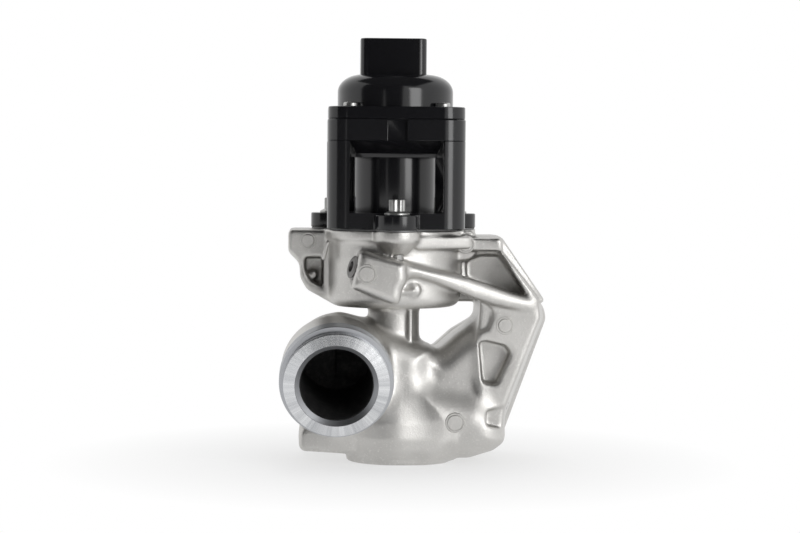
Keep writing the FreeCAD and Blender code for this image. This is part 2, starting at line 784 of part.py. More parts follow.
def coolant_passages():
    """Ring-shaped jacket in the bowl, the long drilling and the two ports in the rear face."""
    jacket = tube(BOWL_INNER_R, TOWER_R, SPRING_SEAT_Z, TOP_FACE_Z - SPRING_SEAT_Z + OVERCUT)
    drill = rod(ARM_DRILL_R, ARM_START, ARM_LINE, (ARM_END - ARM_START).Length - ARM_DRILL_END)
    plug_hole = rod(COOLANT_PLUG_R, ARM_START - ARM_LINE * OVERCUT, ARM_LINE, COOLANT_PLUG_IN + OVERCUT)
    feed = rod(
        ARM_FEED_R,
        ARM_START + ARM_LINE * (COOLANT_PLUG_IN + ARM_FEED_STEP - ARM_FEED_R),
        REAR,
        -ARM_START.y - BOWL_INNER_R + BOWL_WALL,
    )
    port = rod(
        COOLANT_PORT_R,
        V(COOLANT_PORT_X, MOUNT_FACE_Y - COOLANT_PORT_DEPTH, COOLANT_PORT_Z),
        REAR,
        COOLANT_PORT_DEPTH + OVERCUT,
    )
    port_drill = rod(
        ARM_DRILL_R,
        V(COOLANT_PORT_X, ARM_END.y - PORT_DRILL_STEP, COOLANT_PORT_Z),
        REAR,
        MOUNT_FACE_Y - ARM_END.y,
    )
    bowl_port = rod(
        COOLANT_PORT_R,
        V(0, BOWL_INNER_R - BOWL_WALL, BOWL_PORT_Z),
        REAR,
        MOUNT_FACE_Y - BOWL_INNER_R + BOWL_WALL + OVERCUT,
    )
    grooves = [
        rod(PORT_GROOVE_R, V(x, MOUNT_FACE_Y - PORT_GROOVE_DEPTH, z), REAR, PORT_GROOVE_DEPTH + OVERCUT)
        for x, z in ((COOLANT_PORT_X, COOLANT_PORT_Z), (0, BOWL_PORT_Z))
    ]
    return [jacket, drill, plug_hole, feed, port, port_drill, bowl_port] + grooves


def threaded_holes():
    """Holes for the actuator's bolts and for the bolts of the engine side."""
    hole_z = BOLT_TIP_Z - BOLT_HOLE_SPARE
    holes = [
        rod(BOLT_R, V(x, y, hole_z), UP, TOP_FACE_Z - hole_z + OVERCUT)
        for x, y in LUG_POINTS
    ]
    for x, z in MOUNT_HOLES.values():
        start = V(x, MOUNT_FACE_Y - MOUNT_HOLE_DEPTH, z)
        holes.append(rod(MOUNT_HOLE_R, start, REAR, MOUNT_HOLE_DEPTH + OVERCUT))
    return holes


def valve_housing():
    """The whole casting with its passages."""
    solids = bowl() + bolt_bosses() + [left_ear()] + right_wing() + right_column()
    solids += gas_chamber() + spigot() + left_foot() + coolant_arm() + rear_port_boss()
    solids += ejector_pads()
    return joined(solids).cut(gas_passages() + coolant_passages() + threaded_holes())


# Parts in the casting


def seat_ring():
    """Ring with the conical seat on its lower face, pressed in from below."""
    bottom = SEAT_BOTTOM_Z
    return turned(
        [
            (SEAT_THROAT_R + SEAT_CONE, bottom),
            (SEAT_BORE_R - 0.6, bottom),
            (SEAT_BORE_R, bottom + 0.6),
            (SEAT_BORE_R, SEAT_TOP_Z),
            (SEAT_THROAT_R + 0.8, SEAT_TOP_Z),
            (SEAT_THROAT_R, SEAT_TOP_Z - 0.8),
            (SEAT_THROAT_R, bottom + SEAT_CONE),
        ]
    )


def core_plug():
    """Pressed steel cup that closes the seat's bore from below."""
    return turned(
        [
            (0, PLUG_Z + PLUG_H - PLUG_WALL),
            (SEAT_BORE_R - PLUG_WALL, PLUG_Z + PLUG_H - PLUG_WALL),
            (SEAT_BORE_R - PLUG_WALL, PLUG_Z),
            (SEAT_BORE_R, PLUG_Z),
            (SEAT_BORE_R, PLUG_Z + PLUG_H - 0.8),
            (SEAT_BORE_R - 0.8, PLUG_Z + PLUG_H),
            (0, PLUG_Z + PLUG_H),
        ]
    )


def guide_bush():
    """Bush in the neck that guides the valve stem."""
    bottom = SPRING_SEAT_Z - SEAL_H - GUIDE_H - GUIDE_BELOW
    return tube(GUIDE_BORE_R, STEM_R + SLIDE_GAP, bottom, GUIDE_H + GUIDE_BELOW)


def stem_seal():
    """Lip seal above the bush."""
    z = SPRING_SEAT_Z - SEAL_H
    return turned(
        [
            (STEM_R + SLIDE_GAP, z),
            (SEAL_R, z),
            (SEAL_R, z + SEAL_H - 0.3),
            (SEAL_R - 1.4, z + SEAL_H - 0.3),
            (SEAL_R - 1.8, z + 1.2),
            (STEM_R + 1.2, z + 1.2),
            (STEM_R + 0.8, z + SEAL_H - 0.6),
            (STEM_R + SLIDE_GAP, z + SEAL_H - 0.6),
        ]
    )


def soot_shield():
    """Thin cup under the guide that keeps soot off the bush."""
    top = GUIDE_BORE_Z
    return turned(
        [
            (STEM_R + 0.5, top - 0.5 - SHIELD_T),
            (GUIDE_BORE_R + 0.9, top - 0.5 - SHIELD_T),
            (GUIDE_BORE_R + 0.9, top),
            (GUIDE_BORE_R - 0.1, top),
            (GUIDE_BORE_R - 0.1, top - 0.5),
            (STEM_R + 0.5, top - 0.5),
        ]
    )


def coolant_plug():
    """Threaded plug with a hexagon socket that closes the long drilling."""
    length = COOLANT_PLUG_OUT + COOLANT_PLUG_IN
    start = ARM_START - ARM_LINE * COOLANT_PLUG_OUT
    body = rod(COOLANT_PLUG_R, start, ARM_LINE, length)
    socket = hexagon(COOLANT_PLUG_HEX, start, ARM_LINE, length / 2)
    grooves = []
    step = COOLANT_PLUG_PITCH
    distance = step / 2
    while distance < COOLANT_PLUG_OUT - step / 4:
        ring = turned(
            [
                (COOLANT_PLUG_R - COOLANT_PLUG_THREAD, distance),
                (COOLANT_PLUG_R + 0.2, distance - step / 3),
                (COOLANT_PLUG_R + 0.2, distance + step / 3),
            ],
            start,
            ARM_LINE,
        )
        grooves.append(ring)
        distance += step
    return body.cut([socket] + grooves)


def port_seals():
    """O-rings in the grooves around the two coolant ports."""
    wire = (PORT_GROOVE_R - COOLANT_PORT_R) / 2 - 0.15
    rings = []
    for x, z in ((COOLANT_PORT_X, COOLANT_PORT_Z), (0, BOWL_PORT_Z)):
        centre = V(x, MOUNT_FACE_Y - wire, z)
        rings.append(Part.makeTorus(PORT_GROOVE_R - wire - 0.1, wire, centre, REAR))
    return Part.makeCompound(rings)


def jacket_gasket():
    """Flat gasket between the casting and the actuator, with the lugs' holes."""
    sheet = rod(BODY_HALF, V(0, 0, TOP_FACE_Z), UP, GASKET_T)
    for x, y in LUG_POINTS:
        sheet = sheet.fuse(rod(LUG_R - GASKET_STEP, V(x, y, TOP_FACE_Z), UP, GASKET_T))
    sheet = sheet.cut(rod(TOWER_BORE_R, V(0, 0, TOP_FACE_Z), UP, GASKET_T))
    holes = [rod(BOLT_R + BOLT_HOLE_GAP, V(x, y, TOP_FACE_Z), UP, GASKET_T) for x, y in LUG_POINTS]
    return sheet.cut(holes).removeSplitter()


# Valve


def poppet_valve():
    """Stem and head in one piece, with the groove for the collets."""
    groove = RETAINER_Z + COLLET_H / 2
    cone_r = SEAT_THROAT_R - LASH
    cone_low = SEAT_BOTTOM_Z + SEAT_THROAT_R + SEAT_CONE - HEAD_R - SEAT_GAP
    cone_high = cone_low + HEAD_R - cone_r
    return turned(
        [
            (0, cone_low - HEAD_EDGE),
            (HEAD_R - 0.5, cone_low - HEAD_EDGE),
            (HEAD_R, cone_low - HEAD_EDGE + 0.5),
            (HEAD_R, cone_low),
            (cone_r, cone_high),
            (STEM_R + 2.0, cone_high + HEAD_FLARE / 2),
            (STEM_R, cone_high + HEAD_FLARE),
            (STEM_R, groove),
            (STEM_R - STEM_GROOVE_DEPTH, groove),
            (STEM_R - STEM_GROOVE_DEPTH, groove + STEM_GROOVE_W),
            (STEM_R, groove + STEM_GROOVE_W),
            (STEM_R, STEM_TOP_Z - 0.4),
            (STEM_R - 0.4, STEM_TOP_Z),
            (0, STEM_TOP_Z),
        ]
    )


def spring_retainer():
    """Dished disc that the return spring pushes up, with a taper for the collets."""
    z = RETAINER_Z
    return turned(
        [
            (STEM_R + 0.9, z - 0.2),
            (RETAINER_HUB_R, z - 0.2),
            (RETAINER_HUB_R, z + COLLET_H - RETAINER_T),
            (RETAINER_R, z + COLLET_H - RETAINER_T),
            (RETAINER_R, z + COLLET_H),
            (STEM_R + 1.8, z + COLLET_H),
        ]
    )


def collets():
    """Two half collets that lock the retainer to the stem's groove."""
    z = RETAINER_Z
    groove = z + COLLET_H / 2
    cone = turned(
        [
            (STEM_R, z - 0.2),
            (STEM_R + 0.9, z - 0.2),
            (STEM_R + 1.8, z + COLLET_H),
            (STEM_R, z + COLLET_H),
            (STEM_R, groove + STEM_GROOVE_W),
            (STEM_R - STEM_GROOVE_DEPTH, groove + STEM_GROOVE_W),
            (STEM_R - STEM_GROOVE_DEPTH, groove),
            (STEM_R, groove),
        ]
    )
    split = block(-0.4, 0.4, -10, 10, z - OVERCUT, z + COLLET_H + OVERCUT)
    return cone.cut(split)


def return_spring():
    """Spring between the floor of the tower and the retainer; its ends lie a hair off both."""
    top = RETAINER_Z + COLLET_H - RETAINER_T
    return coil(SPRING_WIRE_R, SPRING_MEAN_R, SPRING_SEAT_Z + 0.02, top - 0.02, SPRING_TURNS)


# Actuator housing


def window_cuts():
    """The four windows that bare the motor's can, with their sloping tops."""
    cuts = []
    outer = BODY_HALF + OVERCUT
    inner = outer - WINDOW_DEPTH
    profile = [
        V(0, -outer, BAND_TOP_Z),
        V(0, -inner, BAND_TOP_Z),
        V(0, -inner, WINDOW_LIP_Z),
        V(0, -CAN_R - 2.0, WINDOW_LIP_Z),
        V(0, -BODY_HALF, HOUSING_FLANGE_Z),
        V(0, -outer, HOUSING_FLANGE_Z),
    ]
    face = Part.Face(Part.makePolygon(profile + profile[:1]))
    for quarter, half in enumerate((WINDOW_HALF, WINDOW_HALF, REAR_WINDOW_HALF, WINDOW_HALF)):
        wedge = face.extrude(V(2 * half, 0, 0))
        wedge.translate(V(-half, 0, 0))
        wedge.rotate(V(0, 0, 0), UP, 90 * quarter)
        cuts.append(wedge)
    return cuts


def motor_housing():
    """Moulded square body with round corners, three lugs, windows and the notched flange."""
    body = rounded_square(BODY_HALF, BODY_CORNER_R, BODY_BOTTOM_Z, COVER_JOINT_Z)
    lugs = [rod(LUG_R, V(x, y, BODY_BOTTOM_Z), UP, LUG_H) for x, y in LUG_POINTS]
    x, y = LUG_POINTS[0]
    root = LUG_R + LUG_ROOT_STEP
    lugs.append(block(x - root, x + root, y + LUG_ROOT_SETBACK, 0, BODY_BOTTOM_Z, LUG_TOP_Z))
    body = joined([body] + lugs)
    holes = [
        rod(BOLT_R + BOLT_HOLE_GAP, V(x, y, BODY_BOTTOM_Z - OVERCUT), UP, LUG_H + OVERCUT)
        for x, y in LUG_POINTS
    ]
    spot_faces = [
        rod(BOLT_FLANGE_R + SPOT_FACE_GAP, V(x, y, LUG_TOP_Z), UP, SPOT_FACE_H)
        for x, y in LUG_POINTS
    ]
    bore = [
        rod(MOTOR_BOSS_R + FIT_GAP, V(0, 0, BODY_BOTTOM_Z - OVERCUT), UP, MOTOR_BOSS_T + OVERCUT),
        rod(FLOOR_HOLE_R, V(0, 0, BODY_BOTTOM_Z), UP, BODY_FLOOR + OVERCUT),
        rod(CAN_R + FIT_GAP, V(0, 0, CAN_BOTTOM_Z), UP, COVER_JOINT_Z - CAN_BOTTOM_Z + OVERCUT),
    ]
    screw_holes = [
        rod(
            COVER_SCREW_R,
            V(x, y, COVER_JOINT_Z - COVER_SCREW_LEN),
            UP,
            COVER_SCREW_LEN + OVERCUT,
        )
        for x, y in SCREW_SPOTS
    ]
    notch = block(
        -NOTCH_HALF,
        NOTCH_HALF,
        -BODY_HALF - OVERCUT,
        NOTCH_DEPTH - BODY_HALF,
        HOUSING_FLANGE_Z,
        COVER_JOINT_Z + OVERCUT,
    )
    return body.cut(window_cuts() + holes + spot_faces + bore + screw_holes + [notch])


def motor_can():
    """Steel tube around the stator, with a rolled rim at its top."""
    wall = tube(CAN_R, CAN_R - CAN_WALL, CAN_BOTTOM_Z, CAN_TOP_Z - CAN_BOTTOM_Z)
    floor = tube(CAN_R, FLOOR_HOLE_R, CAN_BOTTOM_Z, CAN_WALL)
    return joined([wall, floor])


def stator_core():
    """Laminated ring with a tooth and a shoe for each pole."""
    outer = CAN_R - CAN_WALL
    inner = MAGNET_R + AIR_GAP
    yoke = tube(outer, outer - CORE_YOKE, CORE_Z, CORE_H)
    arms = []
    for k in range(POLES):
        arm = block(inner - OVERCUT, outer - CORE_YOKE / 2, -TOOTH_HALF, TOOTH_HALF, CORE_Z, CORE_Z + CORE_H)
        shoe = block(inner - OVERCUT, inner + SHOE_T, -SHOE_HALF, SHOE_HALF, CORE_Z, CORE_Z + CORE_H)
        for piece in (arm, shoe):
            piece.rotate(V(0, 0, 0), UP, 360.0 * k / POLES)
            arms.append(piece)
    bore = rod(inner, V(0, 0, CORE_Z - OVERCUT), UP, CORE_H + 2)
    return joined([yoke] + arms).cut(bore)


def stator_coils():
    """One wound coil on each tooth."""
    outer = CAN_R - CAN_WALL - CORE_YOKE - 0.7
    inner = MAGNET_R + AIR_GAP + SHOE_T + 0.5
    coils = []
    for k in range(POLES):
        half = TOOTH_HALF + FIT_GAP
        low = CORE_Z - FIT_GAP
        high = CORE_Z + CORE_H + FIT_GAP
        winding = block(
            inner,
            outer,
            -half - COIL_T,
            half + COIL_T,
            low - COIL_OVERHANG,
            high + COIL_OVERHANG,
        )
        ends = [e for e in winding.Edges if abs(e.BoundBox.XMax - e.BoundBox.XMin) > 1.0]
        winding = winding.makeFillet(COIL_T * 0.7, ends)
        winding = winding.cut(block(inner - OVERCUT, outer + OVERCUT, -half, half, low, high))
        winding.rotate(V(0, 0, 0), UP, 360.0 * k / POLES)
        coils.append(winding)
    return Part.makeCompound(coils)


def bearing_bracket():
    """End shield on top of the can that holds the upper bearing."""
    hub_r = BEARING_OUTER_R + BRACKET_HUB_WALL
    hub_top = BEARING_Z + BEARING_W + 0.5
    return turned(
        [
            (JOURNAL_R + 1.6, CAN_TOP_Z),
            (CAN_R, CAN_TOP_Z),
            (CAN_R, CAN_TOP_Z + BRACKET_T),
            (hub_r, CAN_TOP_Z + BRACKET_T),
            (hub_r, hub_top),
            (BEARING_OUTER_R, hub_top),
            (BEARING_OUTER_R, BEARING_Z),
            (JOURNAL_R + 1.6, BEARING_Z),
        ]
    )


def ball_track():
    """The round groove in which the balls run."""
    middle = (BEARING_OUTER_R + JOURNAL_R) / 2
    return Part.makeTorus(middle, BALL_R + RUN_GAP, V(0, 0, BEARING_Z + BEARING_W / 2), UP)


def bearing_outer_ring():
    """Outer ring of the upper bearing."""
    ring = tube(BEARING_OUTER_R, BEARING_OUTER_R - BEARING_RING_T, BEARING_Z, BEARING_W)
    return ring.cut(ball_track())


def bearing_inner_ring():
    """Inner ring of the upper bearing, on the rotor's journal."""
    ring = tube(JOURNAL_R + BEARING_RING_T, JOURNAL_R, BEARING_Z, BEARING_W)
    return ring.cut(ball_track())


def bearing_balls():
    """The balls, evenly spaced."""
    middle = (BEARING_OUTER_R + JOURNAL_R) / 2
    height = BEARING_Z + BEARING_W / 2
    balls = []
    for k in range(BALL_COUNT):
        turn = 2 * math.pi * k / BALL_COUNT
        spot = V(middle * math.cos(turn), middle * math.sin(turn), height)
        balls.append(Part.makeSphere(BALL_R, spot))
    return Part.makeCompound(balls)


def bearing_cage():
    """Thin ring with a pocket for each ball."""
    middle = (BEARING_OUTER_R + JOURNAL_R) / 2
    height = BEARING_Z + BEARING_W / 2
    ring = tube(middle + CAGE_HALF_T, middle - CAGE_HALF_T, height - CAGE_HALF_W, 2 * CAGE_HALF_W)
    pockets = []
    for k in range(BALL_COUNT):
        turn = 2 * math.pi * k / BALL_COUNT
        outward = V(math.cos(turn), math.sin(turn), 0)
        start = outward * (middle - OVERCUT) + V(0, 0, height)
        pockets.append(rod(BALL_R + RUN_GAP, start, outward, 2.0))
    return ring.cut(pockets)


def flatted(radius, z0, z1):
    """A round bar with a flat along one side, which stops it turning."""
    bar = rod(radius, V(0, 0, z0), UP, z1 - z0)
    return bar.cut(block(radius - FLAT_DEPTH, radius + OVERCUT, -10, 10, z0 - OVERCUT, z1 + OVERCUT))


def motor_boss():
    """Metal base of the motor, with a snout that reaches into the tower."""
    flange_top = BODY_BOTTOM_Z + MOTOR_BOSS_T
    hub_top = SLEEVE_BOTTOM_Z + JOURNAL_BUSH_H
    body = turned(
        [
            (0, SNOUT_BOTTOM_Z),
            (SNOUT_R - SNOUT_CHAMFER, SNOUT_BOTTOM_Z),
            (SNOUT_R, SNOUT_BOTTOM_Z + SNOUT_CHAMFER),
            (SNOUT_R, BODY_BOTTOM_Z),
            (MOTOR_BOSS_R, BODY_BOTTOM_Z),
            (MOTOR_BOSS_R, flange_top),
            (BOSS_HUB_R, flange_top),
            (BOSS_HUB_R, hub_top),
            (0, hub_top),
        ]
    )
    shaft_bush = rod(
        SCREW_TAIL_R + BUSH_WALL, V(0, 0, BUSH_BOTTOM_Z), UP, SLEEVE_BOTTOM_Z - BUSH_BOTTOM_Z + 0.1
    )
    journal = rod(
        JOURNAL_R + RUN_GAP + BUSH_WALL, V(0, 0, SLEEVE_BOTTOM_Z - 0.6), UP, JOURNAL_BUSH_H + OVERCUT
    )
    way_out = rod(SCREW_TAIL_R + 0.5, V(0, 0, SNOUT_BOTTOM_Z - OVERCUT), UP, 3.0)
    groove_z = SNOUT_BOTTOM_Z + 1.4
    groove = tube(SNOUT_R + OVERCUT, SNOUT_R - 1.35, groove_z, 1.9)
    return body.cut([shaft_bush, journal, way_out, groove])


def boss_seal():
    """O-ring in the groove of the snout."""
    wire = 0.75
    centre = V(0, 0, SNOUT_BOTTOM_Z + 1.4 + 0.95)
    return Part.makeTorus(TOWER_BORE_R - wire - 0.1, wire, centre, UP)


def shaft_bush():
    """Bush with a flat that lets the shaft slide and keeps it from turning."""
    top = SLEEVE_BOTTOM_Z - 0.6
    body = rod(SCREW_TAIL_R + BUSH_WALL, V(0, 0, BUSH_BOTTOM_Z), UP, top - BUSH_BOTTOM_Z)
    return body.cut(flatted(SCREW_TAIL_R + SLIDE_GAP, BUSH_BOTTOM_Z - OVERCUT, top + OVERCUT))


def journal_bush():
    """Lower plain bearing of the rotor."""
    z = SLEEVE_BOTTOM_Z
    outer = JOURNAL_R + RUN_GAP + BUSH_WALL
    return tube(outer, JOURNAL_R + RUN_GAP, z, JOURNAL_BUSH_H)


# Rotor and screw


def screw_sleeve():
    """Rotor sleeve: journals, seat of the magnet and the nut's thread inside."""
    z0 = SLEEVE_BOTTOM_Z + 0.1
    core_r = MAGNET_R - MAGNET_WALL
    hub_top = SLEEVE_BOTTOM_Z + JOURNAL_BUSH_H + 0.4
    body = turned(
        [
            (0, z0),
            (JOURNAL_R, z0),
            (JOURNAL_R, hub_top),
            (core_r, hub_top),
            (core_r, MAGNET_Z + MAGNET_H + 0.5),
            (JOURNAL_R + JOURNAL_STEP, MAGNET_Z + MAGNET_H + 1.6),
            (JOURNAL_R + JOURNAL_STEP, BEARING_Z),
            (JOURNAL_R, BEARING_Z),
            (JOURNAL_R, SLEEVE_TOP_Z),
            (0, SLEEVE_TOP_Z),
        ]
    )
    bore = rod(SCREW_R + THREAD_GAP, V(0, 0, z0 - OVERCUT), UP, SLEEVE_TOP_Z - z0 + 2)
    inner_r = SCREW_CORE_R + THREAD_GAP
    outer_r = SCREW_R + THREAD_GAP + THREAD_SINK
    rib = screw_rib(
        inner_r,
        outer_r,
        SCREW_LEAD / 2 - thread_half(inner_r) - THREAD_GAP,
        SCREW_LEAD / 2 - thread_half(outer_r) - THREAD_GAP,
        SCREW_LEAD,
        NUT_BOTTOM_Z,
        NUT_TURNS,
    )
    return body.cut(bore).fuse(rib)


def rotor_magnet():
    """Ring magnet on the sleeve."""
    z = max(MAGNET_Z, SLEEVE_BOTTOM_Z + JOURNAL_BUSH_H + 0.4)
    height = MAGNET_Z + MAGNET_H - z
    return tube(MAGNET_R, MAGNET_R - MAGNET_WALL, z, height)


def thread_half(radius):
    """Half the axial thickness of the shaft's thread at a radius."""
    share = (radius - SCREW_CORE_R) / (SCREW_R - SCREW_CORE_R)
    return THREAD_ROOT_HALF + (THREAD_TIP_HALF - THREAD_ROOT_HALF) * share


def screw_shaft():
    """Shaft with one coarse right-hand thread, a flatted tail and a plain nose."""
    tail = flatted(SCREW_TAIL_R, STEM_TOP_Z + LASH, SCREW_BOTTOM_Z)
    core_z = SCREW_BOTTOM_Z - THREAD_ROOT_HALF - 0.5
    core = rod(SCREW_CORE_R, V(0, 0, core_z), UP, SCREW_CORE_TOP_Z - core_z)
    nose_z = SCREW_CORE_TOP_Z - 0.5
    nose = rod(SCREW_NOSE_R, V(0, 0, nose_z), UP, SCREW_TOP_END_Z - nose_z)
    inner_r = SCREW_CORE_R - THREAD_SINK
    thread = screw_rib(
        inner_r,
        SCREW_R,
        thread_half(inner_r),
        THREAD_TIP_HALF,
        SCREW_LEAD,
        SCREW_BOTTOM_Z,
        SCREW_TURNS,
    )
    return joined([tail, core, nose]).fuse(thread)


# Cover and sensor


def dome_profile(radius, top, shoulder_w, shoulder_h, base):
    """Half section of the dome: straight side, elliptical shoulder and flat top."""
    centre = V(radius - shoulder_w, 0, top - shoulder_h)
    wide = shoulder_w >= shoulder_h
    major = V(1, 0, 0) if wide else V(0, 0, 1)
    ellipse = Part.Ellipse(
        centre + major * max(shoulder_w, shoulder_h),
        centre + (V(0, 0, 1) if wide else V(1, 0, 0)) * min(shoulder_w, shoulder_h),
        centre,
    )
    start = V(radius, 0, top - shoulder_h)
    end = V(radius - shoulder_w, 0, top)
    a = ellipse.parameter(start)
    b = ellipse.parameter(end)
    if b < a:
        a, b = b, a
    arc = Part.ArcOfEllipse(ellipse, a, b).toShape()
    edges = [
        Part.makeLine(V(0, 0, base), V(radius, 0, base)),
        Part.makeLine(V(radius, 0, base), start),
        arc,
        Part.makeLine(end, V(0, 0, top)),
        Part.makeLine(V(0, 0, top), V(0, 0, base)),
    ]
    return Part.Face(Part.Wire(Part.__sortEdges__(edges))).revolve(V(0, 0, 0), UP, 360)


def connector_block(inset, z0, z1):
    """Rounded rectangle of the connector, shrunk by an inset."""
    half_w = CONNECTOR_W / 2 - inset
    half_d = CONNECTOR_D / 2 - inset
    x = CONNECTOR_X
    corners = [(x - half_w, -half_d), (x + half_w, -half_d), (x + half_w, half_d), (x - half_w, half_d)]
    return slab(corners, CONNECTOR_CORNER_R - inset, z0, z1)


def pin_spots():
    """Where the terminals stand."""
    middle_x = (PIN_COLUMN_COUNT - 1) / 2
    middle_y = (PIN_ROW_COUNT - 1) / 2
    return [
        (CONNECTOR_X + (k - middle_x) * PIN_PITCH_X, (row - middle_y) * PIN_PITCH_Y)
        for k in range(PIN_COLUMN_COUNT)
        for row in range(PIN_ROW_COUNT)
    ]


def sensor_cover():
    """Cover plate, dome and connector shroud moulded in one."""
    base = rounded_square(BODY_HALF - 0.2, BODY_CORNER_R, COVER_JOINT_Z, COVER_TOP_Z)
    dome = dome_profile(DOME_R, DOME_TOP_Z, DOME_SHOULDER_W, DOME_SHOULDER_H, COVER_JOINT_Z + OVERCUT)
    shroud = connector_block(0, DOME_TOP_Z - 5.0, CONNECTOR_TOP_Z)
    posts = [
        rod(BOARD_POST_R, V(x, y, BOARD_Z + BOARD_T), UP, DOME_TOP_Z - BOARD_Z - BOARD_T - 0.5)
        for x, y in post_spots()
    ]
    hollow = dome_profile(
        DOME_R - DOME_WALL,
        DOME_TOP_Z - DOME_WALL,
        DOME_SHOULDER_W - DOME_WALL,
        DOME_SHOULDER_H - DOME_WALL,
        COVER_JOINT_Z - OVERCUT,
    )
    socket = connector_block(CONNECTOR_WALL, DOME_TOP_Z + CONNECTOR_FLOOR, CONNECTOR_TOP_Z + OVERCUT)
    guide_r = SENSOR_MAGNET_R + RUN_GAP
    guide = tube(
        guide_r + SENSOR_GUIDE_WALL,
        guide_r,
        SENSOR_GUIDE_Z,
        DOME_TOP_Z - DOME_WALL + 0.2 - SENSOR_GUIDE_Z,
    )
    whole = joined([base, dome, shroud])
    whole = whole.cut([hollow, socket])
    floor_top = DOME_TOP_Z + CONNECTOR_FLOOR
    slots = [
        block(
            x - PIN_W / 2 - FIT_GAP,
            x + PIN_W / 2 + FIT_GAP,
            y - PIN_T / 2 - FIT_GAP,
            y + PIN_T / 2 + FIT_GAP,
            DOME_TOP_Z - DOME_WALL - OVERCUT,
            floor_top + OVERCUT,
        )
        for x, y in pin_spots()
    ]
    holes = [
        rod(COVER_SCREW_R + 0.2, V(x, y, COVER_JOINT_Z - OVERCUT), UP, COVER_T + 2 * OVERCUT)
        for x, y in SCREW_SPOTS
    ]
    heads = [
        rod(COVER_SCREW_HEAD_R + 0.3, V(x, y, COVER_TOP_Z), UP, COVER_SCREW_HEAD_H + 3.0)
        for x, y in SCREW_SPOTS
    ]
    seal = tube(COVER_SEAL_R + 1.2, COVER_SEAL_R - 0.5, COVER_JOINT_Z - OVERCUT, 1 + COVER_SEAL_T)
    return joined([whole, guide] + posts).cut(slots + holes + heads + [seal])


def post_spots():
    """Where posts hold the sensor's board."""
    reach = BOARD_R - 3.0
    return [(reach * math.cos(a), reach * math.sin(a)) for a in (0.5, 2.6, 4.7)]


def cover_seal():
    """Rubber ring in the cover's groove."""
    return tube(COVER_SEAL_R + 1.2, COVER_SEAL_R - 0.5, COVER_JOINT_Z, COVER_SEAL_T)


def cover_screws():
    """Four round-headed screws with cross recesses."""
    screws = []
    for x, y in SCREW_SPOTS:
        head = rod(COVER_SCREW_HEAD_R, V(x, y, COVER_TOP_Z), UP, COVER_SCREW_HEAD_H)
        rim = [e for e in head.Edges if e.BoundBox.ZMin > COVER_TOP_Z + 0.5]
        head = head.makeFillet(COVER_SCREW_HEAD_H * 0.4, rim)
        shank = rod(COVER_SCREW_R - FIT_GAP, V(x, y, COVER_TOP_Z + 0.2), DOWN, COVER_SCREW_LEN)
        recess_z = COVER_TOP_Z + COVER_SCREW_HEAD_H - OVERCUT
        bars = [
            block(x - 1.6, x + 1.6, y - 0.3, y + 0.3, recess_z, recess_z + 2),
            block(x - 0.3, x + 0.3, y - 1.6, y + 1.6, recess_z, recess_z + 2),
        ]
        screws.append(head.fuse(shank).cut(bars))
    return Part.makeCompound(screws)


def terminals():
    """Flat pins from the board up into the connector."""
    bottom = BOARD_Z + BOARD_T
    pins = []
    for x, y in pin_spots():
        pin = block(x - PIN_W / 2, x + PIN_W / 2, y - PIN_T / 2, y + PIN_T / 2, bottom, PIN_TOP_Z)
        tips = [
            e
            for e in pin.Edges
            if e.BoundBox.ZMin > PIN_TOP_Z - 0.1 and e.BoundBox.XMax - e.BoundBox.XMin > 1.0
        ]
        pins.append(pin.makeChamfer(PIN_T * 0.3, tips))
    return Part.makeCompound(pins)


def sensor_board():
    """Round circuit board with a hole for the plunger."""
    board = tube(BOARD_R, BOARD_HOLE_R, BOARD_Z, BOARD_T)
    wide = BOARD_R + OVERCUT
    return board.cut(block(-wide, wide, BOARD_R - BOARD_FLAT, wide, BOARD_Z - OVERCUT, BOARD_Z + 3 * OVERCUT))


def board_chips():
    """Sensor chip beside the plunger, and small parts on the board's underside."""
    z = BOARD_Z - CHIP_H
    half = CHIP_SIZE / 2
    x = BOARD_HOLE_R + 0.8 + half
    chips = [block(x - half, x + half, -half, half, z, BOARD_Z)]
    for k in range(4):
        turn = math.radians(80 + 45 * k)
        cx = (BOARD_R - 4.5) * math.cos(turn)
        cy = (BOARD_R - 5.5) * math.sin(turn)
        chips.append(block(cx - 1.0, cx + 1.0, cy - 0.6, cy + 0.6, BOARD_Z - 0.7, BOARD_Z))
    return Part.makeCompound(chips)


def sensor_plunger():
    """Rod that rides on the screw shaft's nose and carries the sensor's magnet."""
    bottom = SCREW_TOP_END_Z + LASH
    return turned(
        [
            (0, bottom),
            (PLUNGER_R, bottom),
            (PLUNGER_R, PLUNGER_COLLAR_Z),
            (SENSOR_MAGNET_R, PLUNGER_COLLAR_Z),
            (SENSOR_MAGNET_R, PLUNGER_COLLAR_Z + PLUNGER_COLLAR_T),
            (PLUNGER_R, PLUNGER_COLLAR_Z + PLUNGER_COLLAR_T),
            (PLUNGER_R, PLUNGER_TOP_Z - 0.4),
            (PLUNGER_R - 0.4, PLUNGER_TOP_Z),
            (0, PLUNGER_TOP_Z),
        ]
    )


def sensor_magnet():
    """Small ring magnet on the plunger, above its collar."""
    z = PLUNGER_COLLAR_Z + PLUNGER_COLLAR_T
    return tube(SENSOR_MAGNET_R, PLUNGER_R, z, SENSOR_MAGNET_H)


def sensor_spring():
    """Light spring that keeps the plunger on the shaft."""
    low = PLUNGER_COLLAR_Z + PLUNGER_COLLAR_T + SENSOR_MAGNET_H
    high = DOME_TOP_Z - DOME_WALL
    return coil(SENSOR_SPRING_WIRE_R, SENSOR_SPRING_R, low + 0.02, high - 0.02, SENSOR_SPRING_TURNS)


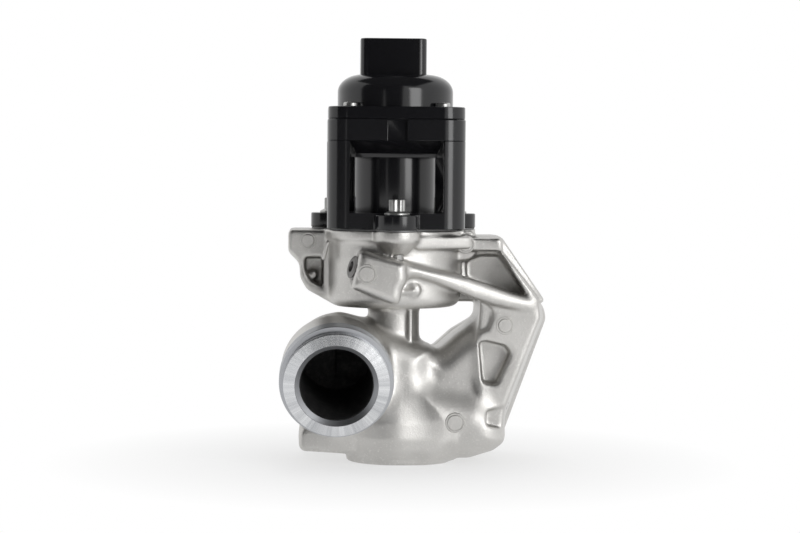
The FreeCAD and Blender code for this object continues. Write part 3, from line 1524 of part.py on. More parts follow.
def actuator_bolts():
    """Three bolts with six-lobed heads on round flanges."""
    bolts = []
    for x, y in LUG_POINTS:
        flange = turned(
            [
                (0, LUG_TOP_Z),
                (BOLT_FLANGE_R, LUG_TOP_Z),
                (BOLT_FLANGE_R, LUG_TOP_Z + BOLT_FLANGE_H * 0.6),
                (BOLT_HEAD_R, LUG_TOP_Z + BOLT_FLANGE_H + 0.4),
                (0, LUG_TOP_Z + BOLT_FLANGE_H + 0.4),
            ],
            V(x, y, 0),
        )
        head = rod(BOLT_HEAD_R, V(x, y, LUG_TOP_Z + 0.5), UP, BOLT_FLANGE_H + BOLT_HEAD_H - 0.5)
        flutes = []
        for k in range(6):
            turn = math.pi * (k + 0.5) / 3
            spot = V(
                x + (BOLT_HEAD_R + 0.15) * math.cos(turn),
                y + (BOLT_HEAD_R + 0.15) * math.sin(turn),
                LUG_TOP_Z + BOLT_FLANGE_H + 0.4,
            )
            flutes.append(rod(BOLT_LOBE_R, spot, UP, BOLT_HEAD_H + OVERCUT))
        dimple = rod(BOLT_HEAD_R * 0.45, V(x, y, LUG_TOP_Z + BOLT_FLANGE_H + BOLT_HEAD_H - 0.8), UP, 2.0)
        shank = rod(BOLT_R - FIT_GAP, V(x, y, BOLT_TIP_Z), UP, LUG_TOP_Z - BOLT_TIP_Z + 0.5)
        bolts.append(joined([flange, head.cut(flutes + [dimple]), shank]))
    return Part.makeCompound(bolts)


NODES = {
    "valve_housing": valve_housing,
    "seat_ring": seat_ring,
    "core_plug": core_plug,
    "guide_bush": guide_bush,
    "stem_seal": stem_seal,
    "soot_shield": soot_shield,
    "coolant_plug": coolant_plug,
    "port_seals": port_seals,
    "jacket_gasket": jacket_gasket,
    "poppet_valve": poppet_valve,
    "spring_retainer": spring_retainer,
    "collets": collets,
    "return_spring": return_spring,
    "motor_housing": motor_housing,
    "motor_can": motor_can,
    "stator_core": stator_core,
    "stator_coils": stator_coils,
    "bearing_bracket": bearing_bracket,
    "bearing_outer_ring": bearing_outer_ring,
    "bearing_inner_ring": bearing_inner_ring,
    "bearing_balls": bearing_balls,
    "bearing_cage": bearing_cage,
    "motor_boss": motor_boss,
    "boss_seal": boss_seal,
    "shaft_bush": shaft_bush,
    "journal_bush": journal_bush,
    "screw_sleeve": screw_sleeve,
    "rotor_magnet": rotor_magnet,
    "screw_shaft": screw_shaft,
    "sensor_cover": sensor_cover,
    "cover_seal": cover_seal,
    "cover_screws": cover_screws,
    "terminals": terminals,
    "sensor_board": sensor_board,
    "board_chips": board_chips,
    "sensor_plunger": sensor_plunger,
    "sensor_magnet": sensor_magnet,
    "sensor_spring": sensor_spring,
    "actuator_bolts": actuator_bolts,
}


def main():
    """Writes one STEP file for each node."""
    os.makedirs("parts", exist_ok=True)
    for name, make in NODES.items():
        shape = make()
        print(name, "solids", len(shape.Solids), "valid", shape.isValid(), round(shape.Volume, 1))
        shape.exportStep("parts/" + name + ".step")


main()
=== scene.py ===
"""Looks of an electric exhaust gas recirculation valve, as a Blender add-on that runs as a script.

Lengths inside the shape code are millimetres in the model's own frame; meshes are written in metres.
"""

import json
import math

import bpy
import numpy as np
from mathutils import Matrix, Vector


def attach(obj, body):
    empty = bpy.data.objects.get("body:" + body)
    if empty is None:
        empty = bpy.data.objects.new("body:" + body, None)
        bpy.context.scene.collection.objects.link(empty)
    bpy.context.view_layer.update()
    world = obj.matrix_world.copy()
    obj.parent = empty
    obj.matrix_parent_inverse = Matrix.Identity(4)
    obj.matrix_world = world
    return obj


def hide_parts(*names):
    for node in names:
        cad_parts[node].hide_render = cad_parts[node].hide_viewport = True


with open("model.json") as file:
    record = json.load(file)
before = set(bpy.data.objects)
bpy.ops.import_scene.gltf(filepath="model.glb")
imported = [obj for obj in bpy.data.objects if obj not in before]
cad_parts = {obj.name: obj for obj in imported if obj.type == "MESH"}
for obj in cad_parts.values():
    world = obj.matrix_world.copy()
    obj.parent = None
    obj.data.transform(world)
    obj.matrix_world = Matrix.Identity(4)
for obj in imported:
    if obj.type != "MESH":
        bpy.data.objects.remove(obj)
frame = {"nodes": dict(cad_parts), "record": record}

bl_info = {
    "name": "Exhaust valve dresser", "version": (1, 0, 0), "blender": (4, 5, 0),
    "location": "View3D > Sidebar > Valve",
    "description": "Builds the visible surfaces, finishes and studio of an exhaust gas recirculation valve",
    "category": "Object"
}

MM = 0.001
# Radius at which a turned profile closes on its axis
AXIS_R = 0.001
# Value of the casting's field far from any solid
FAR = 30.0

# Heights shared by the casting and the actuator
TOP_FACE_Z = 92.5
BODY_BOTTOM_Z = 93.0
FLANGE_Z = 127.6
COVER_JOINT_Z = 136.0
COVER_TOP_Z = 140.9
DOME_TOP_Z = 154.0
CONNECTOR_TOP_Z = 168.2

# Casting
GRID_LOW = (-47.6, -42.4, -1.8)
GRID_HIGH = (65.6, 31.8, 94.4)
MOUNT_FACE_Y = 30.0
COLUMN_FRONT_Y = -14.0
BOWL_R = 26.6
BOWL_BOTTOM_Z = 62.0
NECK_R = 10.2
SPIGOT_FACE = (-23.0, -40.0, 33.3)
SPIGOT_TILT = math.radians(11.0)
SPIGOT_LINE = (0.0, math.cos(SPIGOT_TILT), math.sin(SPIGOT_TILT))
SPIGOT_BORE_R = 14.0
ARM_START = (-15.6, -33.5, 78.4)
ARM_END = (53.5, -10.0, 57.8)
ARM_WAY = np.subtract(ARM_END, ARM_START)
ARM_LINE = ARM_WAY / np.linalg.norm(ARM_WAY)
PLUG_R = 4.5
LUG_POINTS = ((0.0, -28.2), (-24.8, 14.0), (24.8, 14.0))
LUG_R = 8.5
BOLT_SHANK_R = 2.45
BOLT_FLANGE_R = 4.9
INLET_X = 34.0
INLET_Z = 24.0
INLET_R = 12.0
MOUNT_HOLES = ((-34.6, 86.0), (53.0, 42.0), (-30.6, 7.0), (37.0, 83.0))
MOUNT_HOLE_R = 3.0
COOLANT_PORTS = ((52.0, 57.5), (0.0, 77.0))

# Actuator
BODY_HALF = 27.0
BODY_CORNER_R = 9.0
CAN_R = 16.3
CAN_INNER_R = 15.1
CAN_LOW_Z = 98.0
CAN_HIGH_Z = 124.0
SCREW_SPREAD = 18.0
WINDOW_DEPTH = 24.0
HOOD_HALF = 16.1
HOOD_LIP_Y = -18.3
HOOD_FRONT_Y = -26.8
WINDOW_HALF = 18.4
REAR_WINDOW_HALF = 15.0
LIP_Z = 121.2
HOOD_REAR_Y = -11.0
BAND_TOP_Z = 99.4
WINDOW_LIP_Z = 122.6
LUG_H = 5.8
DOME_R = 23.0
DOME_FLAT_R = 13.5
DOME_SHOULDER_Z = 147.0
DOME_SKIN = 2.2
CONNECTOR_X = -1.0
CONNECTOR_HALF_W = 13.1
CONNECTOR_HALF_D = 8.5
CONNECTOR_CORNER_R = 3.2
CONNECTOR_WALL = 1.8
CONNECTOR_FLOOR_Z = 156.6


class CastSettings(bpy.types.PropertyGroup):
    """Sizes and colour of the casting."""

    cell: bpy.props.FloatProperty(
        name="Cell",
        description="Edge of the grid cells that the casting's distance field is sampled on",
        default=0.55 * MM, min=0.3 * MM, unit="LENGTH"
    )
    softening: bpy.props.IntProperty(
        name="Softening", description="How many smoothing passes round the cast edges", default=2,
        min=0, max=8
    )
    triangles: bpy.props.IntProperty(
        name="Triangles", description="Most triangles that the casting's surface keeps", default=190000,
        min=10000, max=199000
    )
    color: bpy.props.FloatVectorProperty(
        name="Colour", description="Colour of the blasted aluminium", default=(0.61, 0.60, 0.58),
        size=3, subtype="COLOR"
    )


class ActuatorSettings(bpy.types.PropertyGroup):
    """Sizes and colour of the black actuator."""

    edge: bpy.props.FloatProperty(
        name="Edge", description="Radius of the moulded edges", default=0.5 * MM, min=0.0, unit="LENGTH"
    )
    color: bpy.props.FloatVectorProperty(
        name="Colour", description="Colour of the moulded resin", default=(0.006, 0.006, 0.007), size=3,
        subtype="COLOR"
    )


class StageSettings(bpy.types.PropertyGroup):
    """Camera and light."""

    distance: bpy.props.FloatProperty(
        name="Distance", description="From the camera to the point it looks at", default=900.0 * MM,
        unit="LENGTH"
    )
    elevation: bpy.props.FloatProperty(
        name="Elevation", description="Angle of the camera above the horizon",
        default=math.radians(2.56), subtype="ANGLE"
    )
    azimuth: bpy.props.FloatProperty(
        name="Azimuth", description="Turn of the camera to the left of the front",
        default=math.radians(2.12), subtype="ANGLE"
    )
    roll: bpy.props.FloatProperty(
        name="Roll", description="Turn of the camera about its own line of sight",
        default=math.radians(0.47), subtype="ANGLE"
    )
    target: bpy.props.FloatVectorProperty(
        name="Target", description="Point in the middle of the picture",
        default=(2.386 * MM, 0.0, 77.64 * MM), size=3, subtype="TRANSLATION", unit="LENGTH"
    )
    span: bpy.props.FloatProperty(
        name="Span", description="Width of the picture at the target", default=320.0 * MM, unit="LENGTH"
    )


# Meshes from arrays


def write_mesh(name, points, faces, body, replaced=(), smooth_angle=35.0):
    """Puts points (millimetres) and quads or triangles into a new object that rides on a body."""
    mesh = bpy.data.meshes.new(name)
    faces = np.asarray(faces, dtype=np.int64)
    corners = faces.shape[1]
    mesh.vertices.add(len(points))
    mesh.vertices.foreach_set("co", (np.asarray(points, dtype=np.float64) * MM).ravel())
    mesh.loops.add(faces.size)
    mesh.loops.foreach_set("vertex_index", faces.ravel())
    mesh.polygons.add(len(faces))
    mesh.polygons.foreach_set("loop_start", np.arange(len(faces)) * corners)
    mesh.update(calc_edges=True)
    mesh.validate()
    mesh.polygons.foreach_set("use_smooth", np.ones(len(mesh.polygons), dtype=bool))
    if smooth_angle < 180.0:
        mesh.set_sharp_from_angle(angle=math.radians(smooth_angle))
    piece = bpy.data.objects.new(name, mesh)
    bpy.context.scene.collection.objects.link(piece)
    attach(piece, body)
    if replaced:
        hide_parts(*replaced)
    return piece


def joined_parts(parts):
    """One points array and one quads array from several."""
    points = []
    faces = []
    start = 0
    for part_points, part_faces in parts:
        points.append(part_points)
        faces.append(part_faces + start)
        start += len(part_points)
    return np.concatenate(points), np.concatenate(faces)


def ring_quads(rows, columns, closed_rows):
    """Quads of a grid whose columns wrap round, and whose rows do too if they are closed."""
    last = rows if closed_rows else rows - 1
    i = np.arange(last)[:, None]
    j = np.arange(columns)[None, :]
    here = i * columns
    there = ((i + 1) % rows) * columns
    beside = (j + 1) % columns
    quads = np.stack([here + j, here + beside, there + beside, there + j], axis=-1)
    return quads.reshape(-1, 4)


def rounded_profile(points, radii, steps=5):
    """Corner points with each corner replaced by an arc: points on the circle tangent to both sides."""
    points = np.asarray(points, dtype=float)
    radii = np.broadcast_to(np.asarray(radii, dtype=float), (len(points),))
    found = []
    for corner, before, after, radius in zip(
        points, np.roll(points, 1, axis=0), np.roll(points, -1, axis=0), radii
    ):
        if radius <= 0:
            found.append(corner[None, :])
            continue
        one = (before - corner) / np.linalg.norm(before - corner)
        two = (after - corner) / np.linalg.norm(after - corner)
        half = math.acos(np.clip(one @ two, -1, 1)) / 2
        if half > math.pi / 2 - 0.01:
            found.append(corner[None, :])
            continue
        middle = (one + two) / np.linalg.norm(one + two)
        centre = corner + middle * radius / math.sin(half)
        start = corner + one * radius / math.tan(half) - centre
        end = corner + two * radius / math.tan(half) - centre
        angle = math.pi - 2 * half
        t = np.linspace(0.0, 1.0, steps + 1)[:, None]
        arc = (np.sin((1 - t) * angle) * start + np.sin(t * angle) * end) / math.sin(angle)
        found.append(centre + arc)
    return np.concatenate(found)


def frame_of(line):
    """Two directions square to a line, and the line itself, as unit vectors."""
    along = np.asarray(line, dtype=float)
    along = along / np.linalg.norm(along)
    helper = np.array([1.0, 0.0, 0.0]) if abs(along[0]) < 0.9 else np.array([0.0, 1.0, 0.0])
    side = np.cross(along, helper)
    side = side / np.linalg.norm(side)
    return side, np.cross(along, side), along


def turned(profile, origin=(0, 0, 0), line=(0, 0, 1), count=96):
    """Closed (radius, distance) profile turned about a line: centre + r (cos a, sin a) + distance."""
    profile = np.asarray(profile, dtype=float)
    side, other, along = frame_of(line)
    a = np.linspace(0.0, 2 * math.pi, count, endpoint=False)
    circle = np.cos(a)[:, None] * side + np.sin(a)[:, None] * other
    points = (
        np.asarray(origin, dtype=float) + profile[:, None, 0:1] * circle[None, :, :]
        + profile[:, None, 1:2] * along
    )
    quads = ring_quads(len(profile), count, True)
    area = np.sum(
        profile[:, 0] * np.roll(profile[:, 1], -1) - np.roll(profile[:, 0], -1) * profile[:, 1]
    )
    if area < 0:
        quads = quads[:, ::-1]
    return points.reshape(-1, 3), quads


def superloop(half_x, half_y, corner, count=16, centre=(0.0, 0.0)):
    """Rounded rectangle as a loop of points: four quarter circles about the inset corners."""
    a = np.linspace(0.0, math.pi / 2, count)
    loop = []
    for k, (sx, sy) in enumerate(((1, 1), (-1, 1), (-1, -1), (1, -1))):
        turn = a + k * math.pi / 2
        x = centre[0] + sx * (half_x - corner) + corner * np.cos(turn)
        y = centre[1] + sy * (half_y - corner) + corner * np.sin(turn)
        loop.append(np.stack([x, y], axis=1))
    return np.concatenate(loop)


def lofted(loops, heights):
    """Loops of equal counts stacked at heights, closed by fans of quads at both ends."""
    loops = np.asarray(loops, dtype=float)
    rows, columns = loops.shape[:2]
    z = np.broadcast_to(np.asarray(heights, dtype=float)[:, None, None], (rows, columns, 1))
    points = np.concatenate([loops, z], axis=2).reshape(-1, 3)
    quads = ring_quads(rows, columns, False)
    half = columns // 2
    j = np.arange(half - 1)
    cap = np.stack([j, j + 1, columns - 2 - j, columns - 1 - j], axis=1)
    bottom = cap[:, ::-1]
    top = cap + (rows - 1) * columns
    return points, np.concatenate([quads, bottom, top])


# Distance fields for the casting


def smooth_least(a, b, blend):
    """Smaller of two distances, with a parabola of a given width where they cross."""
    if blend <= 0:
        return np.minimum(a, b)
    h = np.clip(0.5 + 0.5 * (b - a) / blend, 0.0, 1.0)
    return b + (a - b) * h - blend * h * (1.0 - h)


def section_distance(points, u, v):
    """Signed distance to a polygon: least distance to its sides, negative where a ray crosses it oddly."""
    points = np.asarray(points, dtype=np.float32)
    least = np.full(np.broadcast(u, v).shape, 1e9, dtype=np.float32)
    inside = np.zeros(least.shape, dtype=bool)
    for a, b in zip(points, np.roll(points, 1, axis=0)):
        side = b - a
        wu = u - a[0]
        wv = v - a[1]
        t = np.clip((wu * side[0] + wv * side[1]) / (side @ side), 0.0, 1.0)
        least = np.minimum(least, (wu - side[0] * t) ** 2 + (wv - side[1] * t) ** 2)
        above = v >= a[1]
        below = v < b[1]
        left = side[0] * wv > side[1] * wu
        inside ^= (above & below & left) | ~(above | below | left)
    return np.where(inside, -1.0, 1.0).astype(np.float32) * np.sqrt(least)


def pushed(flat, depth, edge):
    """Solid between two planes from a flat distance and a depth distance, with its edges rounded."""
    a = flat + edge
    b = depth + edge
    outside = np.sqrt(np.maximum(a, 0) ** 2 + np.maximum(b, 0) ** 2)
    return np.minimum(np.maximum(a, b), 0) + outside - edge


def plate_field(outline, radii, y0, y1, edge=0.4):
    """Distance to an (x, z) outline carried from one depth to another."""
    corners = rounded_profile(outline, radii, 4)

    def field(x, y, z):
        flat = section_distance(corners, x[:, 0:1, 0], z[0, 0:1, :])[:, None, :]
        depth = np.abs(y - (y0 + y1) / 2) - (y1 - y0) / 2
        return pushed(flat, depth, edge)

    low = (corners[:, 0].min(), y0, corners[:, 1].min())
    high = (corners[:, 0].max(), y1, corners[:, 1].max())
    return field, low, high


def drafted_field(front, rear, y0, y1, radius, edge=0.4):
    """Distance to a solid whose outline changes evenly from the front one to the rear one."""
    front = np.asarray(front, dtype=float)
    rear = np.asarray(rear, dtype=float)

    def field(x, y, z):
        flat = np.empty(np.broadcast(x, y, z).shape, dtype=np.float32)
        for k, depth in enumerate(y[0, :, 0]):
            share = np.clip((depth - y0) / (y1 - y0), 0, 1)
            corners = rounded_profile(front + (rear - front) * share, radius, 4)
            flat[:, k, :] = section_distance(corners, x[:, 0, :], z[:, 0, :])
        return pushed(flat, np.abs(y - (y0 + y1) / 2) - (y1 - y0) / 2, edge)

    both = np.concatenate([front, rear])
    low = (both[:, 0].min(), y0, both[:, 1].min())
    high = (both[:, 0].max(), y1, both[:, 1].max())
    return field, low, high


def sheared(solid, slope, about):
    """A solid pushed back in y by a slope times the distance in x from a place."""
    field, low, high = solid
    reach = (slope * (low[0] - about), slope * (high[0] - about))

    def moved(x, y, z):
        return field(x, y - slope * (x - about), z)

    return moved, (low[0], low[1] + min(reach), low[2]), (high[0], high[1] + max(reach), high[2])


def about_line(x, y, z, origin, along):
    """Distance along a line from its origin, and distance from the line."""
    rx, ry, rz = x - origin[0], y - origin[1], z - origin[2]
    t = rx * along[0] + ry * along[1] + rz * along[2]
    return t, np.sqrt(np.maximum(rx**2 + ry**2 + rz**2 - t**2, 0))


def turned_field(profile, origin=(0, 0, 0), line=(0, 0, 1)):
    """Distance to a solid of revolution: the distance to its profile at (radius, distance along)."""
    along = frame_of(line)[2]
    profile = np.asarray(profile, dtype=float)
    reach = profile[:, 0].max()
    ends = np.array([origin + along * d for d in (profile[:, 1].min(), profile[:, 1].max())])
    margin = reach * np.sqrt(1 - along**2)

    def field(x, y, z):
        t, r = about_line(x, y, z, origin, along)
        return section_distance(profile, r.astype(np.float32), t.astype(np.float32))

    return field, ends.min(axis=0) - margin, ends.max(axis=0) + margin


def rod_field(start, line, length, r0, r1=None, edge=0.0):
    """Distance to a round bar or cone between two flat ends."""
    along = frame_of(line)[2]
    start = np.asarray(start, dtype=float)
    r1 = r0 if r1 is None else r1
    ends = np.array([start, start + along * length])
    margin = max(r0, r1) * np.sqrt(1 - along**2)

    def field(x, y, z):
        t, r = about_line(x, y, z, start, along)
        flat = r - (r0 + (r1 - r0) * np.clip(t / length, 0, 1))
        return pushed(flat, np.abs(t - length / 2) - length / 2, edge)

    return field, ends.min(axis=0) - margin, ends.max(axis=0) + margin


class Casting:
    """Distance field on a regular grid, to which solids are added and from which they are cut."""

    def __init__(self, low, high, cell):
        self.low = np.asarray(low, dtype=float)
        self.cell = cell
        counts = np.ceil((np.asarray(high) - self.low) / cell).astype(int) + 1
        self.axes = [(self.low[k] + cell * np.arange(counts[k])).astype(np.float32) for k in range(3)]
        self.field = np.full(counts, FAR, dtype=np.float32)

    def window(self, low, high, margin):
        """Slices and coordinates of the grid points inside a box grown by a margin."""
        cuts = []
        for k in range(3):
            first = np.searchsorted(self.axes[k], low[k] - margin)
            last = np.searchsorted(self.axes[k], high[k] + margin)
            cuts.append(slice(max(first, 0), min(last, len(self.axes[k]))))
        x = self.axes[0][cuts[0]][:, None, None]
        y = self.axes[1][cuts[1]][None, :, None]
        z = self.axes[2][cuts[2]][None, None, :]
        return tuple(cuts), x, y, z

    def add(self, solid, blend=1.0):
        """Joins a solid, with a fillet about as wide as the blend."""
        field, low, high = solid
        cuts, x, y, z = self.window(low, high, blend + 3.0)
        self.field[cuts] = smooth_least(self.field[cuts], field(x, y, z), blend)

    def cut(self, solid, blend=0.0):
        """Removes a solid."""
        field, low, high = solid
        cuts, x, y, z = self.window(low, high, blend + 3.0)
        self.field[cuts] = -smooth_least(-self.field[cuts], field(x, y, z), blend)

    def soften(self, passes):
        """Averages each point with its neighbours along each axis, weights 1, 2, 1."""
        f = self.field
        for _ in range(passes):
            for axis in range(3):
                f = (np.roll(f, 1, axis) + 2 * f + np.roll(f, -1, axis)) / 4
        self.field = f

    def trim(self, axis, limit, side):
        """Cuts everything beyond a plane square to an axis (side 1) or before it (side -1)."""
        shape = [1, 1, 1]
        shape[axis] = -1
        self.field = np.maximum(self.field, side * (self.axes[axis].reshape(shape) - limit))

    def surface(self):
        """Points and quads where the field is zero: each crossed cell gets the mean of its crossings."""
        f = self.field
        solid = f < 0
        total = np.zeros([n - 1 for n in f.shape] + [3], dtype=np.float32)
        count = np.zeros([n - 1 for n in f.shape], dtype=np.float32)
        crossed = []
        for axis in range(3):
            a = np.take(f, range(f.shape[axis] - 1), axis)
            b = np.take(f, range(1, f.shape[axis]), axis)
            flip = (a < 0) != (b < 0)
            t = np.where(flip, a / np.where(flip, a - b, 1.0), 0.0)
            crossed.append((flip, np.take(solid, range(f.shape[axis] - 1), axis)))
            others = [k for k in range(3) if k != axis]
            for du in (0, 1):
                for dv in (0, 1):
                    cut = [slice(None)] * 3
                    cut[others[0]] = slice(du, f.shape[others[0]] - 1 + du)
                    cut[others[1]] = slice(dv, f.shape[others[1]] - 1 + dv)
                    cut = tuple(cut)
                    hit = flip[cut]
                    count += hit
                    total[..., axis] += t[cut]
                    total[..., others[0]] += hit * du
                    total[..., others[1]] += hit * dv
        used = count > 0
        index = np.full(count.shape, -1, dtype=np.int64)
        index[used] = np.arange(np.count_nonzero(used))
        where = np.argwhere(used)
        points = self.low + self.cell * (where + total[used] / count[used][:, None])
        quads = []
        for axis in range(3):
            flip, first = crossed[axis]
            others = [k for k in range(3) if k != axis]
            inner = [slice(None)] * 3
            inner[others[0]] = slice(1, -1)
            inner[others[1]] = slice(1, -1)
            inner = tuple(inner)
            spots = np.argwhere(flip[inner])
            outward = first[inner][tuple(spots.T)]
            spots[:, others[0]] += 1
            spots[:, others[1]] += 1
            ring = []
            for du, dv in ((0, 0), (-1, 0), (-1, -1), (0, -1)):
                moved = spots.copy()
                moved[:, others[0]] += du
                moved[:, others[1]] += dv
                ring.append(index[tuple(moved.T)])
            quad = np.stack(ring, axis=1)
            turn = outward if axis != 1 else ~outward
            quad[~turn] = quad[~turn][:, ::-1]
            quads.append(quad)
        return points, np.concatenate(quads)


def chamber_solids():
    """Gas chamber, outlet pipe, inlet side and foot, with the width of each one's fillet."""
    chamber = turned_field([
        (0, 0), (18.6, 0), (18.6, 2.2), (21.0, 5.5), (22.0, 10.5), (21.6, 17.0), (19.4, 24.0),
        (16.6, 31.0), (14.4, 38.0), (12.8, 44.0), (NECK_R, 48.0), (NECK_R, 64.0), (0, 64.0)
    ])
    pipe = turned_field(
        rounded_profile(
            [(0, 5.6), (21.2, 5.6), (21.6, 6.4), (21.6, 24.6), (17.6, 42.6), (12.6, 47.6), (0, 47.6)],
            [0, 0.2, 0.2, 6, 6, 3, 0], 3
        ),
        np.array(SPIGOT_FACE), SPIGOT_LINE
    )
    link = plate_field(
        [
            (-36.0, 47.0), (-29.0, 56.5), (-22.0, 58.9), (-12.0, 57.0), (-5.7, 53.2), (8.5, 47.4),
            (14.0, 45.2), (14.0, 12.0), (-6.0, 5.0), (-25.0, 8.0), (-36.0, 18.0)
        ],
        [6, 6, 5, 5, 5, 3, 1, 3, 5, 6, 8], -16.5, 13.0, 9.0
    )
    duct = plate_field(
        [
            (10.0, 46.0), (17.0, 44.4), (24.4, 51.0), (36.0, 59.0), (41.0, 42.0), (41.0, 12.0),
            (10.0, 12.0)
        ],
        [0.5, 3, 8, 1, 1, 1, 0.5], -12.5, 26.0, 10.0
    )
    sump = plate_field(
        [(12.0, 2.0), (30.0, 2.2), (39.4, 5.4), (43.2, 9.0), (41.0, 19.0), (33.0, 24.0), (12.0, 27.0)],
        [0.5, 8, 4, 2, 6, 10, 0.5], -18.6, 26.0, 9.0
    )
    return [(chamber, 0), (pipe, 4.0), (link, 3.0), (duct, 6.0), (sump, 12.0)]


def frame_solids():
    """Column, flanges, feet and ears that hold the casting to the engine."""
    column = drafted_field(
        [
            (34.0, 66.5), (55.0, 65.4), (57.0, 63.0), (57.6, 58.4), (39.0, 9.5), (37.0, 8.6),
            (35.5, 14.0), (33.4, 30.0), (32.4, 46.0)
        ],
        [
            (34.2, 66.0), (59.6, 64.0), (62.5, 60.6), (63.3, 55.4), (45.4, 7.2), (41.0, 6.6),
            (37.0, 14.0), (33.8, 30.0), (33.0, 46.0)
        ],
        COLUMN_FRONT_Y, MOUNT_FACE_Y, [1.5, 2, 2, 4, 2, 1, 4, 8, 8], 1.2
    )
    flange = plate_field(
        [
            (10.0, 2.0), (45.0, 4.8), (63.3, 55.5), (62.2, 61.0), (36.0, 62.0), (36.0, 58.0),
            (24.4, 51.0), (17.0, 44.4), (10.0, 42.0)
        ],
        [3, 3, 4, 3, 0.5, 4, 6, 4, 3], 22.0, MOUNT_FACE_Y, 0.8
    )
    foot = plate_field(
        [(-36.6, 5.4), (-16.0, 4.6), (-16.0, 14.0), (-36.6, 14.0)], [1.5, 0.5, 0.5, 3.0], -16.0,
        MOUNT_FACE_Y, 0.8
    )
    web = plate_field(
        [(-36.4, 7.0), (-14.0, 4.6), (-14.0, 26.0), (-38.0, 26.0)], [1.0, 0.5, 0.5, 3.0], -14.0, -2.0,
        2.0
    )
    ear = plate_field(
        [
            (-42.3, 92.2), (-42.3, 83.4), (-37.9, 79.0), (-37.4, 73.0), (-34.8, 68.4), (-27.0, 64.2),
            (-20.0, BOWL_BOTTOM_Z + 3.0), (-20.0, 92.2)
        ],
        [1.5, 3, 4, 5, 5, 4, 0.5, 0.5], -5.0, MOUNT_FACE_Y, 0.8
    )
    return [(column, 3.0), (flange, 2.0), (foot, 2.5), (web, 4.0), (ear, 1.5)]


def bowl_solids():
    """Bowl, its rim, and the bosses under the actuator's lugs."""
    bowl = turned_field(
        rounded_profile(
            [(0, BOWL_BOTTOM_Z), (BOWL_R, BOWL_BOTTOM_Z), (BOWL_R, 95.0), (0, 95.0)], [0, 4.5, 0, 0], 6
        )
    )
    rim = rod_field((0, 0, 88.6), (0, 0, 1), 6.0, BOWL_R + 1.0)
    solids = [(bowl, 2.5), (rim, 0.8)]
    x, y = LUG_POINTS[0]
    funnel = turned_field(
        rounded_profile(
            [(0, 83.4), (3.6, 83.4), (5.2, 85.0), (8.9, 88.6), (9.0, 95.0), (0, 95.0)],
            [0, 0.6, 1.5, 1.5, 0, 0], 4
        ),
        np.array((x, y, 0.0))
    )
    solids.append((funnel, 1.2))
    for x, y in LUG_POINTS[1:]:
        solids.append((rod_field((x, y, 86.5), (0, 0, 1), 8.0, LUG_R, edge=0.6), 1.0))
        solids.append((rod_field((x, y, 79.1), (0, 0, 1), 14.0, LUG_R - 2.5, edge=0.6), 1.5))
    solids.append((rod_field((0, 10, 77.0), (0, 1, 0), 25.0, 8.0, edge=0.6), 1.5))
    return solids


def wing_solids():
    """Roof, slanting wall and recessed web at the upper right."""
    roof = plate_field(
        [(16.0, 84.6), (41.8, 84.6), (41.8, 89.5), (16.0, 89.5)], [0.3, 0.8, 1.2, 0.3], COLUMN_FRONT_Y,
        MOUNT_FACE_Y, 0.6
    )
    web = plate_field(
        [(20.0, 89.5), (43.4, 89.5), (61.8, 63.0), (42.0, 65.6), (28.0, 70.0), (20.0, 70.0)],
        [0.5, 0.8, 1.0, 1.0, 1.0, 0.5], 2.0, MOUNT_FACE_Y, 0.8
    )
    rear_web = plate_field(
        [(20.0, 75.0), (50.0, 75.0), (50.0, 62.5), (24.0, 62.5)], [0.5, 0.5, 0.5, 0.5], 20.0,
        MOUNT_FACE_Y, 0.8
    )
    wall = drafted_field(
        [(38.6, 89.0), (41.6, 89.5), (42.0, 84.2), (58.0, 64.0), (54.6, 63.0)],
        [(39.5, 89.0), (44.4, 89.4), (45.6, 83.0), (62.4, 62.2), (57.4, 62.0)], COLUMN_FRONT_Y,
        MOUNT_FACE_Y, [0.3, 1.0, 2.0, 1.5, 1.0], 0.9
    )
    boss = rod_field((26.8, -10.0, 87.0), (0, 1, 0), 26.0, 6.6, edge=0.8)
    rim = plate_field(
        [(34.7, 82.3), (42.0, 82.2), (54.9, 65.1), (53.6, 64.6), (29.2, 73.2), (29.0, 80.0)],
        [1.0, 0.6, 0.6, 0.6, 2.0, 2.0], -2.0, 3.6, 0.4
    )
    strip = sheared(
        plate_field(
            [(4.0, 90.4), (30.0, 90.4), (30.0, 85.4), (8.0, 85.4)], [0.5, 0.8, 0.8, 0.8], -28.2, -8.0,
            0.6
        ),
        0.6, 8.0
    )
    return [
        (roof, 1.0), (web, 1.5), (rear_web, 1.0), (wall, 1.2), (boss, 1.2), (strip, 0.8)
    ], [(rim, 0.5)]


